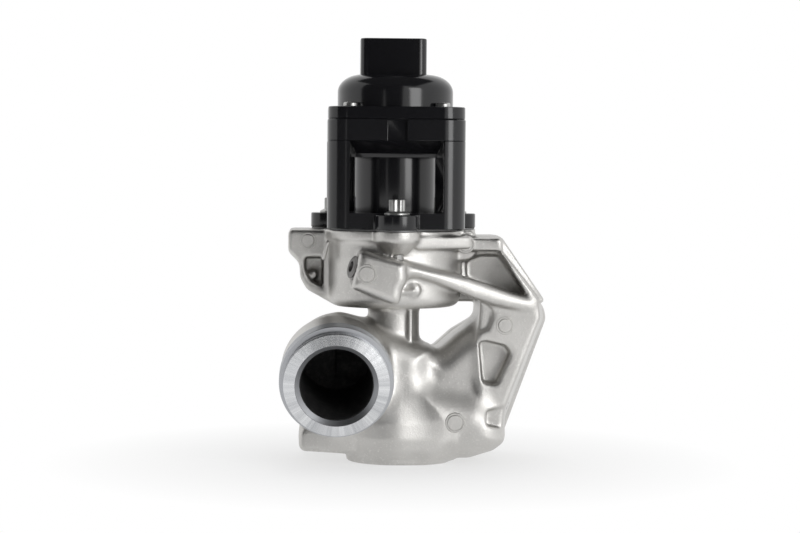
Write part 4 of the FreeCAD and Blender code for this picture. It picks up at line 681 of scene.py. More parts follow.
def arm_solids():
    """Boss and rib around the long coolant drilling, and what ties them to the bowl."""
    boss = plate_field(
        [
            (-14.5, 85.0), (3.2, 80.6), (3.8, 74.0), (1.8, 70.0), (1.0, 64.9), (-2.4, 65.0),
            (-17.8, 70.8)
        ],
        [1.6, 2.0, 4.0, 2.0, 1.5, 1.5, 1.2], -40.6, -20.0, 3.2
    )
    collar = rod_field(ARM_START, ARM_LINE, 6.0, 7.2, edge=0.8)
    rib = sheared(
        plate_field(
            [
                (-4.0, 82.4), (12.0, 78.1), (27.5, 74.6), (45.4, 68.4), (55.0, 65.6), (56.0, 60.0),
                (38.3, 63.6), (30.5, 66.3), (15.6, 72.4), (7.6, 74.9), (-4.0, 74.0)
            ],
            [1, 3, 4, 3, 2, 2, 3, 3, 3, 2, 1], -31.0, -17.0, 2.6
        ),
        0.32, 4.0
    )
    pin = rod_field((1.5, -26.6, 68.8), (1, 0, 0.1), 6.2, 1.25, edge=0.4)
    seat = rod_field((6.6, -26.6, 69.6), (0, 1, 0), 4.0, 3.0, edge=0.5)
    neck_rib = rod_field((6.2, -9.6, 44.0), (0, 0, 1), 20.0, 1.2, edge=0.2)
    ear_rib = rod_field((-26.4, -13.0, 88.6), (-2.2, 1.0, -8.6), 8.6, 1.1, edge=0.4)
    return [
        (boss, 1.2), (collar, 1.2), (rib, 2.2), (pin, 0.6), (seat, 0.5), (neck_rib, 0.6), (ear_rib, 0.6)
    ]


def pad_discs():
    """Round pads left by the ejector pins: a flat disc, a groove and a low lip around it."""
    spots = (
        (-34.4, -5.2, 88.0, 2.4), (27.6, -14.6, 87.2, 2.7), (43.6, -14.2, 55.2, 2.7),
        (23.8, -19.9, 17.2, 3.0), (-11.8, -40.9, 76.4, 2.9)
    )
    discs = []
    for x, y, z, r in spots:
        profile = [
            (AXIS_R, -0.25), (r - 0.2, -0.25), (r, -0.05), (r, 0.25), (r + 0.25, 0.25), (r + 0.3, 0.0),
            (r + 0.75, 0.0), (r + 0.95, 0.3), (r + 0.95, 1.6), (AXIS_R, 1.6)
        ]
        discs.append(turned(profile, (x, y, z), (0, 1, 0), 64))
    return joined_parts(discs)


def cast_pockets():
    """Hollows that the die leaves in the casting."""
    ear_pocket = plate_field(
        [(-35.6, 81.2), (-28.4, 81.2), (-28.4, 69.2), (-33.6, 72.2), (-35.6, 76.6)],
        [0.8, 0.8, 0.5, 2.0, 2.0], -9.0, 6.0, 0.5
    )
    column_pocket = plate_field(
        [(33.4, 48.2), (35.8, 49.0), (44.0, 47.2), (46.0, 44.2), (40.4, 31.6), (34.9, 32.2)],
        [0.6, 1.0, 2.5, 2.0, 2.5, 2.0], -18.0, COLUMN_FRONT_Y + 8.0, 1.0
    )
    step = plate_field(
        [(30.0, 67.0), (36.0, 63.8), (38.6, 61.4), (38.9, 58.8), (37.0, 53.6), (30.0, 51.0)],
        [0.5, 2.0, 1.0, 3.0, 0.5, 0.5], -18.0, COLUMN_FRONT_Y + 1.3, 0.2
    )
    low_step = plate_field(
        [(36.4, 21.4), (44.0, 23.0), (44.0, 14.0), (36.0, 15.8)], [1.0, 0.5, 0.5, 1.0], -18.0,
        COLUMN_FRONT_Y + 1.0, 0.2
    )
    return [(ear_pocket, 0.6), (column_pocket, 1.2), (step, 0.4), (low_step, 0.4)]


def pocket_bosses():
    """The stub at the bottom of the ear's pocket."""
    return [(rod_field((-32.4, -1.0, 74.2), (0, 1, 0), 8.0, 1.8, edge=0.5), 0.8)]


def machined_cuts():
    """Bores, drillings and chambers, cut sharply after the cast skin is softened."""
    outlet = turned_field(
        [(0, -1.0), (21.6, -1.0), (21.6, 5.2), (14.6, 5.2), (14.6, 43.0), (11.0, 45.0), (0, 45.0)],
        np.array(SPIGOT_FACE), SPIGOT_LINE
    )
    valve_bore = turned_field([
        (0, -3.0), (15.5, -3.0), (15.5, 28.0), (13.0, 28.0), (9.0, 37.0), (6.0, 45.5), (5.0, 45.5),
        (5.0, 62.5), (7.0, 62.5), (7.0, 66.0), (12.0, 66.0), (12.0, 95.0), (0, 95.0)
    ])
    jacket = turned_field([(15.0, 66.0), (22.6, 66.0), (22.6, 95.0), (15.0, 95.0)])
    cuts = [outlet, valve_bore, jacket]
    cuts.append(rod_field((-23.0, 0, 37.0), (1, 0, 0), 23.0, 8.0))
    cuts.append(rod_field((0, 0.5, 12.5), (1, 0, 0), INLET_X, 8.5))
    cuts.append(rod_field((INLET_X, -1.0, INLET_Z), (0, 1, 0), 34.0, INLET_R))
    for x, z in MOUNT_HOLES:
        cuts.append(rod_field((x, MOUNT_FACE_Y - 14.0, z), (0, 1, 0), 16.0, MOUNT_HOLE_R))
    for x, z in COOLANT_PORTS:
        cuts.append(rod_field((x, MOUNT_FACE_Y - 2.0, z), (0, 1, 0), 4.0, 6.2))
    cuts.append(rod_field((COOLANT_PORTS[0][0], -2.0, COOLANT_PORTS[0][1]), (0, 1, 0), 34.0, 4.0))
    cuts.append(rod_field((0, 18.0, COOLANT_PORTS[1][1]), (0, 1, 0), 14.0, 4.0))
    for x, y in LUG_POINTS:
        cuts.append(rod_field((x, y, 77.6), (0, 0, 1), 20.0, 2.5))
    cuts.append(rod_field(np.array(ARM_START) - 3.0 * ARM_LINE, ARM_LINE, 10.0, PLUG_R))
    cuts.append(rod_field((-30.6, -17.0, 5.2), (0, 1, 0), 3.0, 1.1))
    return cuts


def cast_body(settings):
    """The whole casting as one surface worked out from its distance field."""
    cell = settings.cell / MM * 1.0
    casting = Casting(GRID_LOW, GRID_HIGH, cell)
    wing, sunk = wing_solids()
    for solid, blend in chamber_solids() + frame_solids() + bowl_solids() + wing:
        casting.add(solid, blend)
    for solid, blend in sunk:
        casting.cut(solid, blend)
    for solid, blend in arm_solids():
        casting.add(solid, blend)
    for solid, blend in cast_pockets():
        casting.cut(solid, blend)
    for solid, blend in pocket_bosses():
        casting.add(solid, blend)
    casting.soften(settings.softening)
    casting.trim(2, TOP_FACE_Z, 1)
    casting.trim(1, MOUNT_FACE_Y, 1)
    casting.trim(2, 0.0, -1)
    for solid in machined_cuts():
        casting.cut(solid)
    points, quads = casting.surface()
    piece = write_mesh("housing_casting", points, quads, "housing", ("valve_housing",), 180.0)
    triangles = 2 * len(quads)
    if triangles > settings.triangles:
        thin = piece.modifiers.new("thin", "DECIMATE")
        thin.ratio = settings.triangles / triangles
        apply_modifiers(piece)
    return piece


def darken_passages(piece):
    """Gives the faces inside the gas passages the second material, by where their middles lie."""
    polygons = piece.data.polygons
    middles = np.empty(3 * len(polygons))
    polygons.foreach_get("center", middles)
    middles = middles.reshape(-1, 3) / MM
    x, y, z = middles.T
    offset = middles - np.array(SPIGOT_FACE)
    line = np.array(SPIGOT_LINE)
    along = offset @ line
    across = np.linalg.norm(offset - along[:, None] * line, axis=1)
    outlet = (across < SPIGOT_BORE_R + 1.0) & (along > 1.0) & (along < 46.0)
    bore_r = np.interp(z, (0.0, 28.0, 28.1, 37.0, 45.5, 62.0), (15.8, 15.8, 13.4, 9.4, 6.4, 5.5))
    chamber = (np.hypot(x, y) < bore_r) & (z > 0.3) & (z < 62.0)
    link = (np.hypot(y, z - 37.0) < 8.4) & (x > -24.0) & (x < 0.0)
    passage = (np.hypot(y - 0.5, z - 12.5) < 8.9) & (x > 0.0) & (x < INLET_X)
    inlet = (np.hypot(x - INLET_X, z - INLET_Z) < INLET_R + 0.4) & (y > -2.0) & (y < MOUNT_FACE_Y - 0.4)
    # Faces inside these passages take the near-black material.
    darkened = outlet | chamber | link | passage | inlet
    polygons.foreach_set("material_index", darkened.astype(np.int32))


def apply_modifiers(piece):
    """Replaces a piece's mesh by what its modifiers make of it."""
    graph = bpy.context.evaluated_depsgraph_get()
    mesh = bpy.data.meshes.new_from_object(piece.evaluated_get(graph))
    piece.modifiers.clear()
    old = piece.data
    piece.data = mesh
    bpy.data.meshes.remove(old)


# Materials


class Wire:
    """A socket that adds and multiplies: an expression adds its Math nodes to the tree."""

    def __init__(self, tree, socket):
        self.tree = tree
        self.socket = socket

    def math(self, operation, first, second=None):
        """One Math node on wires or numbers."""
        node = self.tree.nodes.new("ShaderNodeMath")
        node.operation = operation
        for slot, value in zip(node.inputs, (first, second)):
            if isinstance(value, Wire):
                self.tree.links.new(value.socket, slot)
            elif value is not None:
                slot.default_value = value
        return Wire(self.tree, node.outputs[0])

    def __add__(self, other):
        return self.math("ADD", self, other)

    __radd__ = __add__

    def __mul__(self, other):
        return self.math("MULTIPLY", self, other)

    __rmul__ = __mul__


def seen_wire(tree):
    """1 for camera, glossy and transmission rays, 0 for the others."""
    path = tree.nodes.new("ShaderNodeLightPath")
    camera, glossy, through = (
        Wire(tree, path.outputs[name])
        for name in ("Is Camera Ray", "Is Glossy Ray", "Is Transmission Ray")
    )
    return camera.math("MAXIMUM", camera.math("MAXIMUM", camera, glossy), through)


class Finish:
    """A material with one Principled shader, and one method that adds any other node."""

    def __init__(self, name, **constants):
        self.material = bpy.data.materials.new(name)
        self.material.use_nodes = True
        self.tree = self.material.node_tree
        self.shader = next(n for n in self.tree.nodes if n.type == "BSDF_PRINCIPLED")
        for socket, value in constants.items():
            self.shader.inputs[socket.replace("_", " ")].default_value = value
        self.place = self.wire("ShaderNodeTexCoord", "Object")

    def wire(self, kind, output=0, settings=None, **sockets):
        """A node of a kind, its settings first, then its sockets from wires or plain values."""
        node = self.tree.nodes.new(kind)
        for key, value in (settings or {}).items():
            if key == "stops":
                self.set_stops(node, value)
            else:
                setattr(node, key, value)
        for key, value in sockets.items():
            slot = node.inputs[int(key[1:])] if key[0] == "i" and key[1:].isdigit() else node.inputs[
                key.replace("_", " ")
            ]
            if isinstance(value, Wire):
                self.tree.links.new(value.socket, slot)
            else:
                slot.default_value = value
        return Wire(self.tree, node.outputs[output])

    def set_stops(self, node, stops):
        """Places a colour ramp's stops."""
        ramp = node.color_ramp
        while len(ramp.elements) < len(stops):
            ramp.elements.new(1.0)
        for element, (position, value) in zip(ramp.elements, stops):
            element.position = position
            element.color = (*value, 1.0) if len(value) == 3 else value

    def ramp(self, factor, *stops):
        """A colour ramp on a factor; stops are (position, colour or grey)."""
        full = [(p, (c, c, c) if isinstance(c, (int, float)) else c) for p, c in stops]
        return self.wire("ShaderNodeValToRGB", settings={"stops": full}, Fac=factor)

    def noise(self, size, detail=2.0, roughness=0.5):
        """Noise whose lumps are about as large as a size in millimetres."""
        return self.wire(
            "ShaderNodeTexNoise", Vector=self.place, Scale=1.0 / (size * MM), Detail=detail,
            Roughness=roughness
        )

    def mix(self, factor, first, second):
        """A blend of two colours."""
        node = self.tree.nodes.new("ShaderNodeMix")
        node.data_type = "RGBA"
        for slot, value in zip(
            (node.inputs[0], node.inputs[6], node.inputs[7]), (factor, first, second)
        ):
            if isinstance(value, Wire):
                self.tree.links.new(value.socket, slot)
            elif isinstance(value, (int, float)):
                slot.default_value = value
            else:
                slot.default_value = (*value, 1.0)
        return Wire(self.tree, node.outputs[2])

    def set(self, socket, value):
        """Feeds one of the shader's sockets."""
        self.tree.links.new(value.socket, self.shader.inputs[socket])

    def bump(self, height, distance, strength=1.0, normal=None):
        """A Bump node from a height in the 0 to 1 range; distance is in millimetres."""
        sockets = {"Height": height, "Distance": distance * MM, "Strength": strength}
        if normal is not None:
            sockets["Normal"] = normal
        return self.wire("ShaderNodeBump", **sockets)


def blasted_aluminium(settings):
    """Light grey casting with a fine blasted grain, pale specks and faint blotches."""
    f = Finish("blasted_aluminium", Metallic=1.0)
    grain = f.noise(0.38, 3.0, 0.65)
    specks = f.noise(0.9, 2.0, 0.6)
    blotches = f.noise(14.0, 3.0)
    base = tuple(settings.color)
    pale = tuple(min(1.0, c * 1.07) for c in base)
    dark = tuple(c * 0.86 for c in base)
    colour = f.mix(f.ramp(blotches, (0.35, 0.0), (0.65, 1.0)), dark, base)
    colour = f.mix(f.ramp(specks, (0.55, 0.0), (0.75, 1.0)), colour, pale)
    f.set("Base Color", colour)
    f.set("Roughness", 0.34 + 0.18 * grain)
    rough = f.bump(grain, 0.07, 0.8)
    f.set("Normal", f.bump(specks, 0.10, 0.6, rough))
    return f.material


def turned_aluminium():
    """Bright turned metal: fine rings about the outlet's axis, and a fan of darker and lighter sectors
    across them that is painted reflection.
    """
    f = Finish("turned_aluminium", Metallic=1.0)
    local = f.wire(
        "ShaderNodeMapping", settings={"vector_type": "POINT"}, Vector=f.place,
        Location=tuple(-c * MM for c in SPIGOT_FACE)
    )
    radial = f.wire(
        "ShaderNodeVectorMath", settings={"operation": "MULTIPLY"}, i0=local, i1=(1, 0.0, 1)
    )
    reach = f.wire("ShaderNodeVectorMath", 1, {"operation": "LENGTH"}, i0=radial)
    lines = f.wire(
        "ShaderNodeTexNoise", Vector=f.wire("ShaderNodeCombineXYZ", X=reach), Scale=9000.0, Detail=1.0
    )
    ray = f.wire("ShaderNodeVectorMath", settings={"operation": "NORMALIZE"}, i0=radial)
    # Darker and lighter sectors by angle about the axis, painted in the colour as the turned face's
    # reflection fan.
    reflection_fan = f.ramp(
        f.wire("ShaderNodeTexNoise", Vector=ray, Scale=5.0, Detail=6.0, Roughness=0.7), (0.30, 0.0),
        (0.66, 1.0)
    )
    tone = f.mix(f.noise(7.0), (0.72, 0.73, 0.74), (0.84, 0.85, 0.86))
    f.set("Base Color", f.mix(reflection_fan, (0.45, 0.46, 0.48), tone))
    f.set("Roughness", 0.20 + 0.14 * lines)
    f.set("Normal", f.bump(lines, 0.035, 0.7))
    return f.material


def dark_bore_finish(name="dark_bore_finish"):
    """Near-black inside of the outlet, matt, with a few pale specks."""
    f = Finish(name, Metallic=0.35)
    dark_mottle = f.noise(2.2, 4.0, 0.7)
    f.set(
        "Base Color",
        f.mix(f.ramp(dark_mottle, (0.45, 0.0), (0.8, 1.0)), (0.012, 0.012, 0.013), (0.06, 0.058, 0.055))
    )
    f.set("Roughness", 0.55 + 0.3 * dark_mottle)
    f.set("Normal", f.bump(dark_mottle, 0.12, 0.5))
    return f.material


def moulded_resin(settings, name="moulded_resin", gloss=0.15):
    """Black filled resin with a slight grain in its gloss."""
    f = Finish(name, Metallic=0.0)
    grain = f.noise(0.5, 2.0)
    blotches = f.noise(18.0)
    base = tuple(settings.color)
    f.set("Base Color", f.mix(blotches, base, tuple(c * 1.5 for c in base)))
    f.set("Roughness", gloss + 0.06 * grain)
    f.set("Normal", f.bump(grain, 0.006, 0.5))
    return f.material


def plain_metal(name, color, roughness, grain=0.6, bump=0.02):
    """Plated, ground or turned metal with a slight mottle."""
    f = Finish(name, Metallic=1.0)
    mottle = f.noise(grain, 2.0)
    f.set("Base Color", f.mix(mottle, tuple(c * 0.88 for c in color), color))
    f.set("Roughness", roughness + 0.12 * mottle)
    f.set("Normal", f.bump(mottle, bump, 0.5))
    return f.material


def plain_matt(name, color, roughness, grain=0.8):
    """Rubber, resin, board or magnet: a matt colour with a slight mottle."""
    f = Finish(name)
    mottle = f.noise(grain, 2.0)
    f.set("Base Color", f.mix(mottle, tuple(c * 0.8 for c in color), color))
    f.set("Roughness", roughness + 0.1 * mottle)
    f.set("Normal", f.bump(mottle, 0.03, 0.5))
    return f.material


def coat(piece, *materials):
    """Gives a piece its materials."""
    piece.data.materials.clear()
    for material in materials:
        piece.data.materials.append(material)


# Operators: one for each piece or group of like pieces


class BuildCasting(bpy.types.Operator):
    """Casts the housing and gives it its blasted skin"""

    bl_idname = "valve.build_casting"
    bl_label = "Casting"

    def execute(self, context):
        settings = context.scene.valve_cast
        piece = cast_body(settings)
        skin = blasted_aluminium(settings)
        coat(piece, skin, dark_bore_finish("gas_passage"))
        darken_passages(piece)
        pads = write_mesh("ejector_pads", *pad_discs(), "housing", smooth_angle=30.0)
        coat(pads, skin)
        return {"FINISHED"}


class BuildOutlet(bpy.types.Operator):
    """Turns the outlet's bright ring and its dark bore"""

    bl_idname = "valve.build_outlet"
    bl_label = "Outlet ring and bore"

    def execute(self, context):
        ring = [(16.1, 0.0), (20.2, 1.0), (20.5, 1.3), (20.5, 4.6), (15.4, 4.6), (15.4, 1.2)]
        bright = self.turning("outlet_ring", ring, turned_aluminium())
        collar = [(15.6, 4.5), (20.0, 4.5), (20.0, 5.2), (22.0, 5.5), (22.2, 5.8)]
        for start in (6.8, 8.4, 10.0):
            collar += [(22.2, start), (21.7, start + 0.15), (21.7, start + 0.45), (22.2, start + 0.6)]
        collar += [(22.2, 11.6), (21.0, 12.4), (15.6, 12.4)]
        wide = SPIGOT_BORE_R + 0.3
        chamfer = [(16.12, 0.04), (wide, 1.9), (wide, 3.0), (16.12, 3.0)]
        # Darker copy of the turned metal for the collar and the chamfer: painted shade.
        shaded_copy = plain_metal("shaded_turning", (0.46, 0.47, 0.49), 0.32, 0.5)
        for name, profile in (("outlet_collar", collar), ("outlet_chamfer", chamfer)):
            piece = self.turning(name, profile, shaded_copy)
        liner = [(wide, 1.9), (SPIGOT_BORE_R, 2.3), (SPIGOT_BORE_R, 42.8), (14.5, 42.8), (14.5, 2.0)]
        dark = self.turning("outlet_bore", liner, dark_bore_finish(), 128)
        return {"FINISHED"}

    def turning(self, name, profile, material, count=160):
        """A piece turned about the outlet's axis."""
        points, quads = turned(profile, SPIGOT_FACE, SPIGOT_LINE, count)
        piece = write_mesh(name, points, quads, "housing", smooth_angle=20.0)
        coat(piece, material)
        return piece


def housing_shell():
    """The square body with its round corners, as stacked loops; a fine step marks the flange."""
    levels = [
        (BODY_BOTTOM_Z, 26.6, 8.6), (BODY_BOTTOM_Z + 0.4, BODY_HALF, BODY_CORNER_R),
        (FLANGE_Z - 0.2, BODY_HALF, BODY_CORNER_R), (FLANGE_Z, 26.8, 8.8),
        (FLANGE_Z + 0.2, BODY_HALF, BODY_CORNER_R), (COVER_JOINT_Z - 0.35, BODY_HALF, BODY_CORNER_R),
        (COVER_JOINT_Z, 26.7, 8.7)
    ]
    loops = [superloop(half, half, corner) for _, half, corner in levels]
    return lofted(loops, [z for z, _, _ in levels])


def window_hood(turn):
    """Sloping ceiling of a window: three stacked rounded oblongs, turned to its side."""
    rows = (
        (LIP_Z, HOOD_HALF, HOOD_LIP_Y), (WINDOW_LIP_Z, HOOD_HALF, HOOD_LIP_Y),
        (FLANGE_Z + 0.5, WINDOW_HALF, HOOD_FRONT_Y)
    )
    loops = []
    for _, half, front in rows:
        loops.append(
            superloop(half, (HOOD_REAR_Y - front) / 2, 0.3, 4, (0.0, (front + HOOD_REAR_Y) / 2))
        )
    points, quads = lofted(loops, [z for z, _, _ in rows])
    c, s = math.cos(turn), math.sin(turn)
    x, y = points[:, 0].copy(), points[:, 1].copy()
    points[:, 0] = c * x - s * y
    points[:, 1] = s * x + c * y
    return points, quads


def window_cutter(turn):
    """Block that opens one side of the body, with a flat floor and a flat roof."""
    outer = BODY_HALF + 2.0
    inner = BODY_HALF + 1.0 - WINDOW_DEPTH
    half = REAR_WINDOW_HALF if abs(turn - math.pi) < 0.1 else WINDOW_HALF
    section = np.array([
        (-outer, BAND_TOP_Z), (-inner, BAND_TOP_Z), (-inner, FLANGE_Z + 0.02), (-outer, FLANGE_Z + 0.02)
    ])
    rows = []
    for x in (-half, half):
        rows.append(np.concatenate([np.full((len(section), 1), x), section], axis=1))
    points = np.concatenate(rows)
    count = len(section)
    faces = [[i, (i + 1) % count, count + (i + 1) % count, count + i] for i in range(count)]
    faces.append(list(range(count))[::-1])
    faces.append([count + i for i in range(count)])
    cutter = tool_piece(points, faces, "window_cutter")
    cutter.data.transform(Matrix.Rotation(turn, 4, "Z"))
    cutter.data.update()
    return cutter


def cut_with(piece, cutters, operation="DIFFERENCE"):
    """Applies exact booleans with the cutters, then removes them."""
    for cutter in cutters:
        step = piece.modifiers.new("cut", "BOOLEAN")
        step.operation = operation
        step.solver = "EXACT"
        step.object = cutter
        apply_modifiers(piece)
        mesh = cutter.data
        bpy.data.objects.remove(cutter)
        bpy.data.meshes.remove(mesh)


def tool_piece(points, quads, name="tool"):
    """A loose closed mesh used to cut or join."""
    mesh = bpy.data.meshes.new(name)
    mesh.from_pydata((np.asarray(points) * MM).tolist(), [], np.asarray(quads).tolist())
    mesh.update()
    piece = bpy.data.objects.new(name, mesh)
    bpy.context.scene.collection.objects.link(piece)
    return piece


def round_edges(piece, width, angle=35.0, segments=3):
    """Bevels the sharp edges and shades the piece smoothly between them."""
    bevel = piece.modifiers.new("edges", "BEVEL")
    bevel.width = width
    bevel.segments = segments
    bevel.limit_method = "ANGLE"
    bevel.angle_limit = math.radians(angle)
    bevel.harden_normals = True
    bevel.use_clamp_overlap = True
    level = piece.modifiers.new("level", "WEIGHTED_NORMAL")
    level.keep_sharp = True
    apply_modifiers(piece)
    mesh = piece.data
    mesh.polygons.foreach_set("use_smooth", np.ones(len(mesh.polygons), dtype=bool))


class BuildPlug(bpy.types.Operator):
    """Cuts the coolant drilling's threaded plug"""

    bl_idname = "valve.build_plug"
    bl_label = "Coolant plug"

    def execute(self, context):
        profile = [(AXIS_R, -0.9), (1.8, -0.9), (2.1, -2.3), (3.6, -2.3)]
        for turn in range(6):
            root = -2.1 + 0.9 * turn
            profile += [
                (3.9, root), (PLUG_R - 0.05, root + 0.3), (PLUG_R - 0.05, root + 0.45),
                (3.9, root + 0.7)
            ]
        profile += [(3.9, 6.0), (AXIS_R, 6.0)]
        points, quads = turned(profile, ARM_START, ARM_WAY, 72)
        piece = write_mesh("threaded_plug", points, quads, "housing", ("coolant_plug",), 25.0)
        coat(piece, plain_metal("plug_steel", (0.20, 0.195, 0.19), 0.32, 0.5))
        return {"FINISHED"}


class BuildBody(bpy.types.Operator):
    """Moulds the square body with its windows, lugs and notch"""

    bl_idname = "valve.build_body"
    bl_label = "Motor body"

    def execute(self, context):
        settings = context.scene.valve_actuator
        points, quads = housing_shell()
        piece = write_mesh("motor_body", points, quads, "housing", ("motor_housing",))
        cutters = [window_cutter(k * math.pi / 2) for k in range(4)]
        cut_with(piece, cutters)
        cut_with(piece, [tool_piece(*window_hood(k * math.pi / 2)) for k in range(4)], "UNION")
        root = superloop(9.4, 4.0, 1.2, 6, (0.0, -23.4))
        root = lofted([root, root, root], [BODY_BOTTOM_Z + 0.1, 96.0, BODY_BOTTOM_Z + LUG_H])
        cut_with(piece, [tool_piece(*root)], "UNION")
        bore = turned(
            [(AXIS_R, CAN_LOW_Z), (CAN_R + 0.05, CAN_LOW_Z), (CAN_R + 0.05, 140.0), (AXIS_R, 140.0)],
            count=96
        )
        cut_with(piece, [tool_piece(*bore)])
        notch = lofted(
            [superloop(4.0, 3.0, 0.4, 4, (0.0, -28.5))] * 2, [FLANGE_Z + 0.01, COVER_JOINT_Z + 1.0]
        )
        cut_with(piece, [tool_piece(*notch)])
        for x, y in LUG_POINTS:
            spot = turned(
                [
                    (AXIS_R, BODY_BOTTOM_Z + LUG_H), (5.3, BODY_BOTTOM_Z + LUG_H), (5.3, 109.0),
                    (AXIS_R, 109.0)
                ],
                (x, y, 0.0), count=48
            )
            cut_with(piece, [tool_piece(*spot)])
        round_edges(piece, settings.edge)
        material = moulded_resin(settings)
        coat(piece, material)
        for k, (x, y) in enumerate(LUG_POINTS):
            profile = rounded_profile(
                [
                    (2.7, BODY_BOTTOM_Z), (LUG_R, BODY_BOTTOM_Z), (LUG_R, BODY_BOTTOM_Z + LUG_H),
                    (2.7, BODY_BOTTOM_Z + LUG_H)
                ],
                [0.2, 0.5, 0.5, 0.3], 4
            )
            lug = write_mesh("lug_%d" % k, *turned(profile, (x, y, 0.0)), "housing", smooth_angle=50.0)
            coat(lug, material)
        return {"FINISHED"}


class BuildCan(bpy.types.Operator):
    """Forms the motor's glossy can"""

    bl_idname = "valve.build_can"
    bl_label = "Motor can"

    def execute(self, context):
        settings = context.scene.valve_actuator
        profile = rounded_profile(
            [
                (CAN_INNER_R, CAN_LOW_Z), (CAN_R, CAN_LOW_Z), (CAN_R, CAN_HIGH_Z),
                (CAN_INNER_R, CAN_HIGH_Z)
            ],
            [0.2, 0.6, 0.6, 0.2], 4
        )
        piece = write_mesh(
            "motor_can_skin", *turned(profile, count=128), "housing", ("motor_can",), 50.0
        )
        coat(piece, moulded_resin(settings, "can_coat", 0.14))
        return {"FINISHED"}


class BuildCover(bpy.types.Operator):
    """Moulds the cover plate, the dome and the connector shroud"""

    bl_idname = "valve.build_cover"
    bl_label = "Cover, dome and connector"

    def execute(self, context):
        settings = context.scene.valve_actuator
        material = moulded_resin(settings, "cover_resin", 0.12)
        half = BODY_HALF - 0.2
        corner = BODY_CORNER_R
        rows = ((0.0, 0.35), (0.35, 0.0), (4.35, 0.0), (4.75, 0.12), (4.9, 0.5))
        plate = lofted(
            [superloop(half - inset, half - inset, corner - inset) for _, inset in rows],
            [COVER_JOINT_Z + rise for rise, _ in rows]
        )
        piece = write_mesh("cover_plate", *plate, "housing", ("sensor_cover",), 40.0)
        pockets = []
        for x in (-SCREW_SPREAD, SCREW_SPREAD):
            for y in (-SCREW_SPREAD, SCREW_SPREAD):
                pockets.append(
                    tool_piece(
                        *turned(
                            [(AXIS_R, 130.0), (1.7, 130.0), (1.7, 145.0), (AXIS_R, 145.0)], (x, y, 0),
                            count=24
                        )
                    )
                )
        cut_with(piece, pockets)
        coat(piece, material)
        a = np.linspace(0.0, math.pi / 2, 14)
        wide = DOME_R - DOME_FLAT_R
        high = DOME_TOP_Z - DOME_SHOULDER_Z
        outer, inner = (
            np.stack(
                [DOME_FLAT_R + (wide - skin) * np.cos(a), DOME_SHOULDER_Z + (high - skin) * np.sin(a)],
                axis=1
            )
            for skin in (0.0, DOME_SKIN)
        )
        profile = np.concatenate([
            [(DOME_R, COVER_TOP_Z - 1.0)], outer, [(AXIS_R, DOME_TOP_Z)],
            [(AXIS_R, DOME_TOP_Z - DOME_SKIN)], inner[::-1], [(DOME_R - DOME_SKIN, COVER_TOP_Z - 1.0)]
        ])
        dome = write_mesh("sensor_dome", *turned(profile, count=160), "housing", smooth_angle=45.0)
        coat(dome, material)
        shell = write_mesh("connector_shroud", *self.shroud(), "housing", smooth_angle=40.0)
        coat(shell, material)
        return {"FINISHED"}

    def shroud(self):
        """Wall of the connector: up the outside, over the rim, down the inside to its floor."""
        w = CONNECTOR_WALL
        rows = [
            (0.0, 152.0), (0.0, CONNECTOR_TOP_Z - 0.5), (0.15, CONNECTOR_TOP_Z - 0.15),
            (0.5, CONNECTOR_TOP_Z), (w - 0.4, CONNECTOR_TOP_Z), (w - 0.1, CONNECTOR_TOP_Z - 0.1),
            (w, CONNECTOR_TOP_Z - 0.4), (w, CONNECTOR_FLOOR_Z)
        ]
        loops = [
            superloop(
                CONNECTOR_HALF_W - inset, CONNECTOR_HALF_D - inset,
                max(CONNECTOR_CORNER_R - inset, 0.4), 10, (CONNECTOR_X, 0.0)
            ) for inset,
            _ in rows
        ]
        return lofted(loops, [z for _, z in rows])


